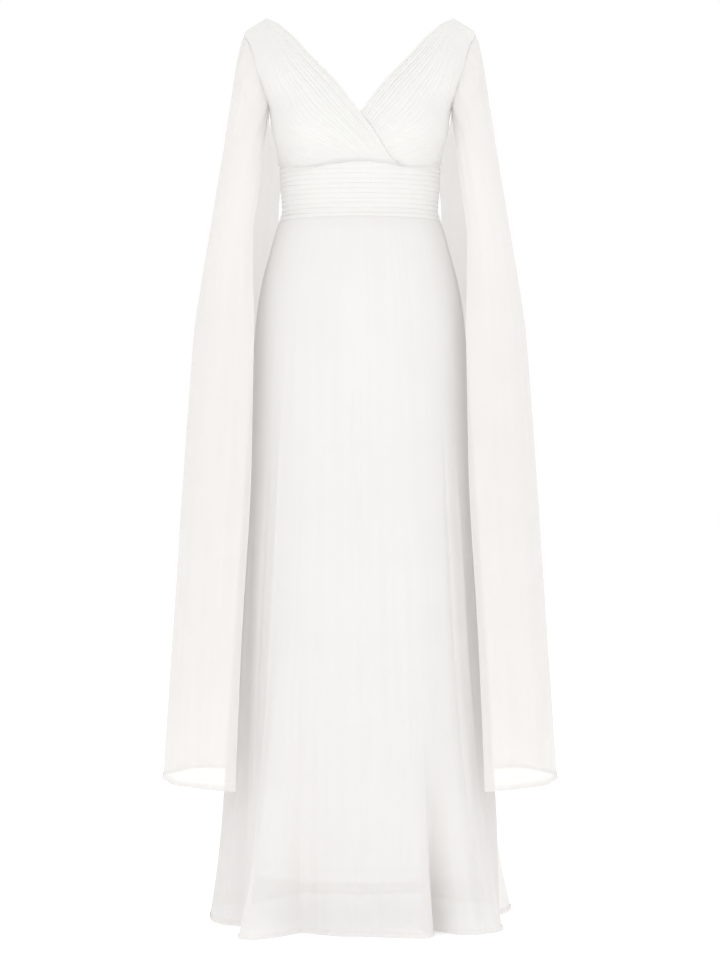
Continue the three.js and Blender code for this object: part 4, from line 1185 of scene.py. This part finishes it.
class DRESS_OT_sewing(bpy.types.Operator):
    """Sew the dress: hem stitches, and the pressed ridges over its long seams"""
    bl_idname = "dress.sewing"
    bl_label = "Sewing"
    bl_options = {"REGISTER", "UNDO"}

    def execute(self, context):
        scene = context.scene
        sizes, skirt, sleeves = scene.dress_sewing, scene.dress_skirt, scene.dress_sleeves

        def row(name, line, out):
            parts = stitches(line, out, sizes.stitch, sizes.gap, sizes.thread)
            settled(context, name, parts, "sewing thread")

        def over_surface(angle, z):
            return body_point(angle, z, skirt_push(angle, z, skirt.crease_share))

        def lining_surface(angle, z):
            return body_point(angle, z, 0.0, lining_girth)

        around = np.linspace(-CENTRE_BACK, CENTRE_BACK, 900)
        for name, surface, height in (
                ("hem_stitches", over_surface, SKIRT_HEM_Z + skirt.hem_turn - STITCH_IN),
                ("lining_hem_stitches", lining_surface,
                 LINING_HEM_Z + skirt.lining_hem_turn - LINING_STITCH_IN)):
            z = np.full_like(around, height)
            row(name, surface(around, z), normal_of(surface, around, z, 0.3, 0.001, 1.0))
        for word, is_right in (("left", False), ("right", True)):
            grid = sleeve_grid(sleeves, is_right)
            rolled = ROLL_ROWS + int(round(sleeves.hem_turn / HEM_PITCH))
            level = grid.shape[0] - 2 * rolled + 3
            line = grid[level]
            out = unit(np.cross(np.gradient(line, axis=0), grid[level - 1] - line))
            row(f"cape_{word}_hem_stitches", line, out)

        foot = SKIRT_HEM_Z + SEAM_END
        whole = np.linspace(WAIST_SEAM_Z, foot, 120)
        below_zip = np.linspace(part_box("zip_chain")[0].z, foot, 90)
        underarm = np.linspace(UNDERARM_Z, BACK_BAND_TOP_Z, 24)
        seams = [over_surface(-SIDE, whole), over_surface(SIDE, whole),
                 over_surface(CENTRE_BACK, below_zip)]
        seams += [body_point(angle, underarm) for angle in (-SIDE, SIDE)]
        welts = [tube(seam, sizes.welt, flatten=0.5) for seam in seams]
        settled(context, "seam_ridges", welts, "skirt chiffon")
        return {"FINISHED"}


class DRESS_OT_stage(bpy.types.Operator):
    """Set the floor, the white room, the softboxes and the camera"""
    bl_idname = "dress.stage"
    bl_label = "Stage"
    bl_options = {"REGISTER", "UNDO"}

    def execute(self, context):
        settings = context.scene.dress_stage
        self.floor(settings)
        self.room(context, settings)
        for name, place, aim_z, size, power in (
                ("softbox_left", (2.4, -3.6, 0.6), -0.75, (1.8, 2.6), settings.front_light),
                ("softbox_right", (-2.4, -3.6, 0.6), -0.75, (1.8, 2.6), settings.front_light),
                ("softbox_top", (0, -0.6, 2.2), -0.5, (2.2, 2.2), settings.top_light)):
            light = bpy.data.lights.new(name, "AREA")
            light.shape = "RECTANGLE"
            light.size, light.size_y = size
            light.energy = power
            lamp = placed(name, light)
            lamp.location = place
            aim = Vector((0, 0, aim_z)) - Vector(place)
            lamp.rotation_euler = aim.to_track_quat("-Z", "Y").to_euler()
        lens = bpy.data.cameras.new("front_camera")
        lens.sensor_width = 36.0
        lens.lens = CAMERA_DISTANCE * lens.sensor_width / FRAME_HEIGHT
        camera = placed("front_camera", lens)
        camera.location = (0, -CAMERA_DISTANCE, CAMERA_Z)
        camera.rotation_euler = (math.pi / 2, 0, 0)
        context.scene.camera = camera
        context.scene.view_settings.view_transform = "Standard"
        return {"FINISHED"}

    def floor(self, settings):
        steps = np.linspace(-FLOOR_REACH, FLOOR_REACH, 25)
        x, y = np.meshgrid(steps, steps)
        grid = np.stack([x, y, np.full_like(x, SKIRT_HEM_Z - settings.floor_gap)], -1)
        material = trim_material("studio floor", (0.93, 0.93, 0.93), 0.7, 0.0, 2.0, 0.0)
        shader = material.node_tree.nodes["Principled BSDF"]
        shader.inputs["Emission Color"].default_value = (1, 1, 1, 1)
        shader.inputs["Emission Strength"].default_value = settings.floor_glow
        floor = mesh_object("studio_floor", grid.reshape(-1, 3), grid_faces(25, 25), material)

    def room(self, context, settings):
        """White all round, and brightest behind the dress."""
        world = bpy.data.worlds.new("white_room")
        world.use_nodes = True
        tree = world.node_tree
        background = tree.nodes["Background"]
        toward = node(tree, "ShaderNodeTexCoord", (-900, 0))
        parts = node(tree, "ShaderNodeSeparateXYZ", (-700, 0))
        spread = node(tree, "ShaderNodeMapRange", (-500, 0), interpolation_type="SMOOTHSTEP")
        for end, value in (("From Min", BACKDROP_FROM), ("From Max", BACKDROP_FULL),
                           ("To Min", settings.room_light), ("To Max", settings.backdrop_light)):
            spread.inputs[end].default_value = value
        wire(tree, (toward, "Generated", parts, 0), (parts, "Y", spread, "Value"),
             (spread, "Result", background, "Strength"))
        background.inputs["Color"].default_value = (1, 1, 1, 1)
        context.scene.world = world


class DRESS_PT_panel(bpy.types.Panel):
    """The dress's pieces and their sizes"""
    bl_label = "Evening dress"
    bl_idname = "DRESS_PT_panel"
    bl_space_type = "VIEW_3D"
    bl_region_type = "UI"
    bl_category = "Dress"

    def draw(self, context):
        for name, operators in PANEL_ROWS:
            box = self.layout.box()
            settings = getattr(context.scene, name)
            for key in settings.__annotations__:
                box.prop(settings, key)
            for operator in operators:
                box.operator(operator)


SETTINGS = {
    "dress_look": DressLook, "dress_bodice": BodiceSizes, "dress_waistband": WaistbandSizes,
    "dress_skirt": SkirtSizes, "dress_sleeves": SleeveSizes, "dress_sewing": SewingSizes,
    "dress_zip": ZipSizes, "dress_stage": StageSettings,
}
PANEL_ROWS = [
    ("dress_look", []), ("dress_bodice", ["dress.bodice"]),
    ("dress_waistband", ["dress.waistband"]), ("dress_skirt", ["dress.skirt"]),
    ("dress_sleeves", ["dress.sleeves"]), ("dress_sewing", ["dress.sewing"]),
    ("dress_zip", ["dress.zip"]), ("dress_stage", ["dress.stage"]),
]
CLASSES = [
    *SETTINGS.values(), DRESS_OT_bodice, DRESS_OT_waistband, DRESS_OT_skirt, DRESS_OT_sleeves,
    DRESS_OT_zip, DRESS_OT_sewing, DRESS_OT_stage, DRESS_PT_panel,
]


def register():
    for made in CLASSES:
        bpy.utils.register_class(made)
    for name, group in SETTINGS.items():
        setattr(bpy.types.Scene, name, bpy.props.PointerProperty(type=group))


def unregister():
    for name in SETTINGS:
        delattr(bpy.types.Scene, name)
    for made in reversed(CLASSES):
        bpy.utils.unregister_class(made)


def main():
    register()
    bpy.ops.dress.bodice()
    bpy.ops.dress.waistband()
    bpy.ops.dress.skirt()
    bpy.ops.dress.sleeves()
    bpy.ops.dress.zip()
    bpy.ops.dress.sewing()
    bpy.ops.dress.stage()


if __name__ == "__main__":
    main()
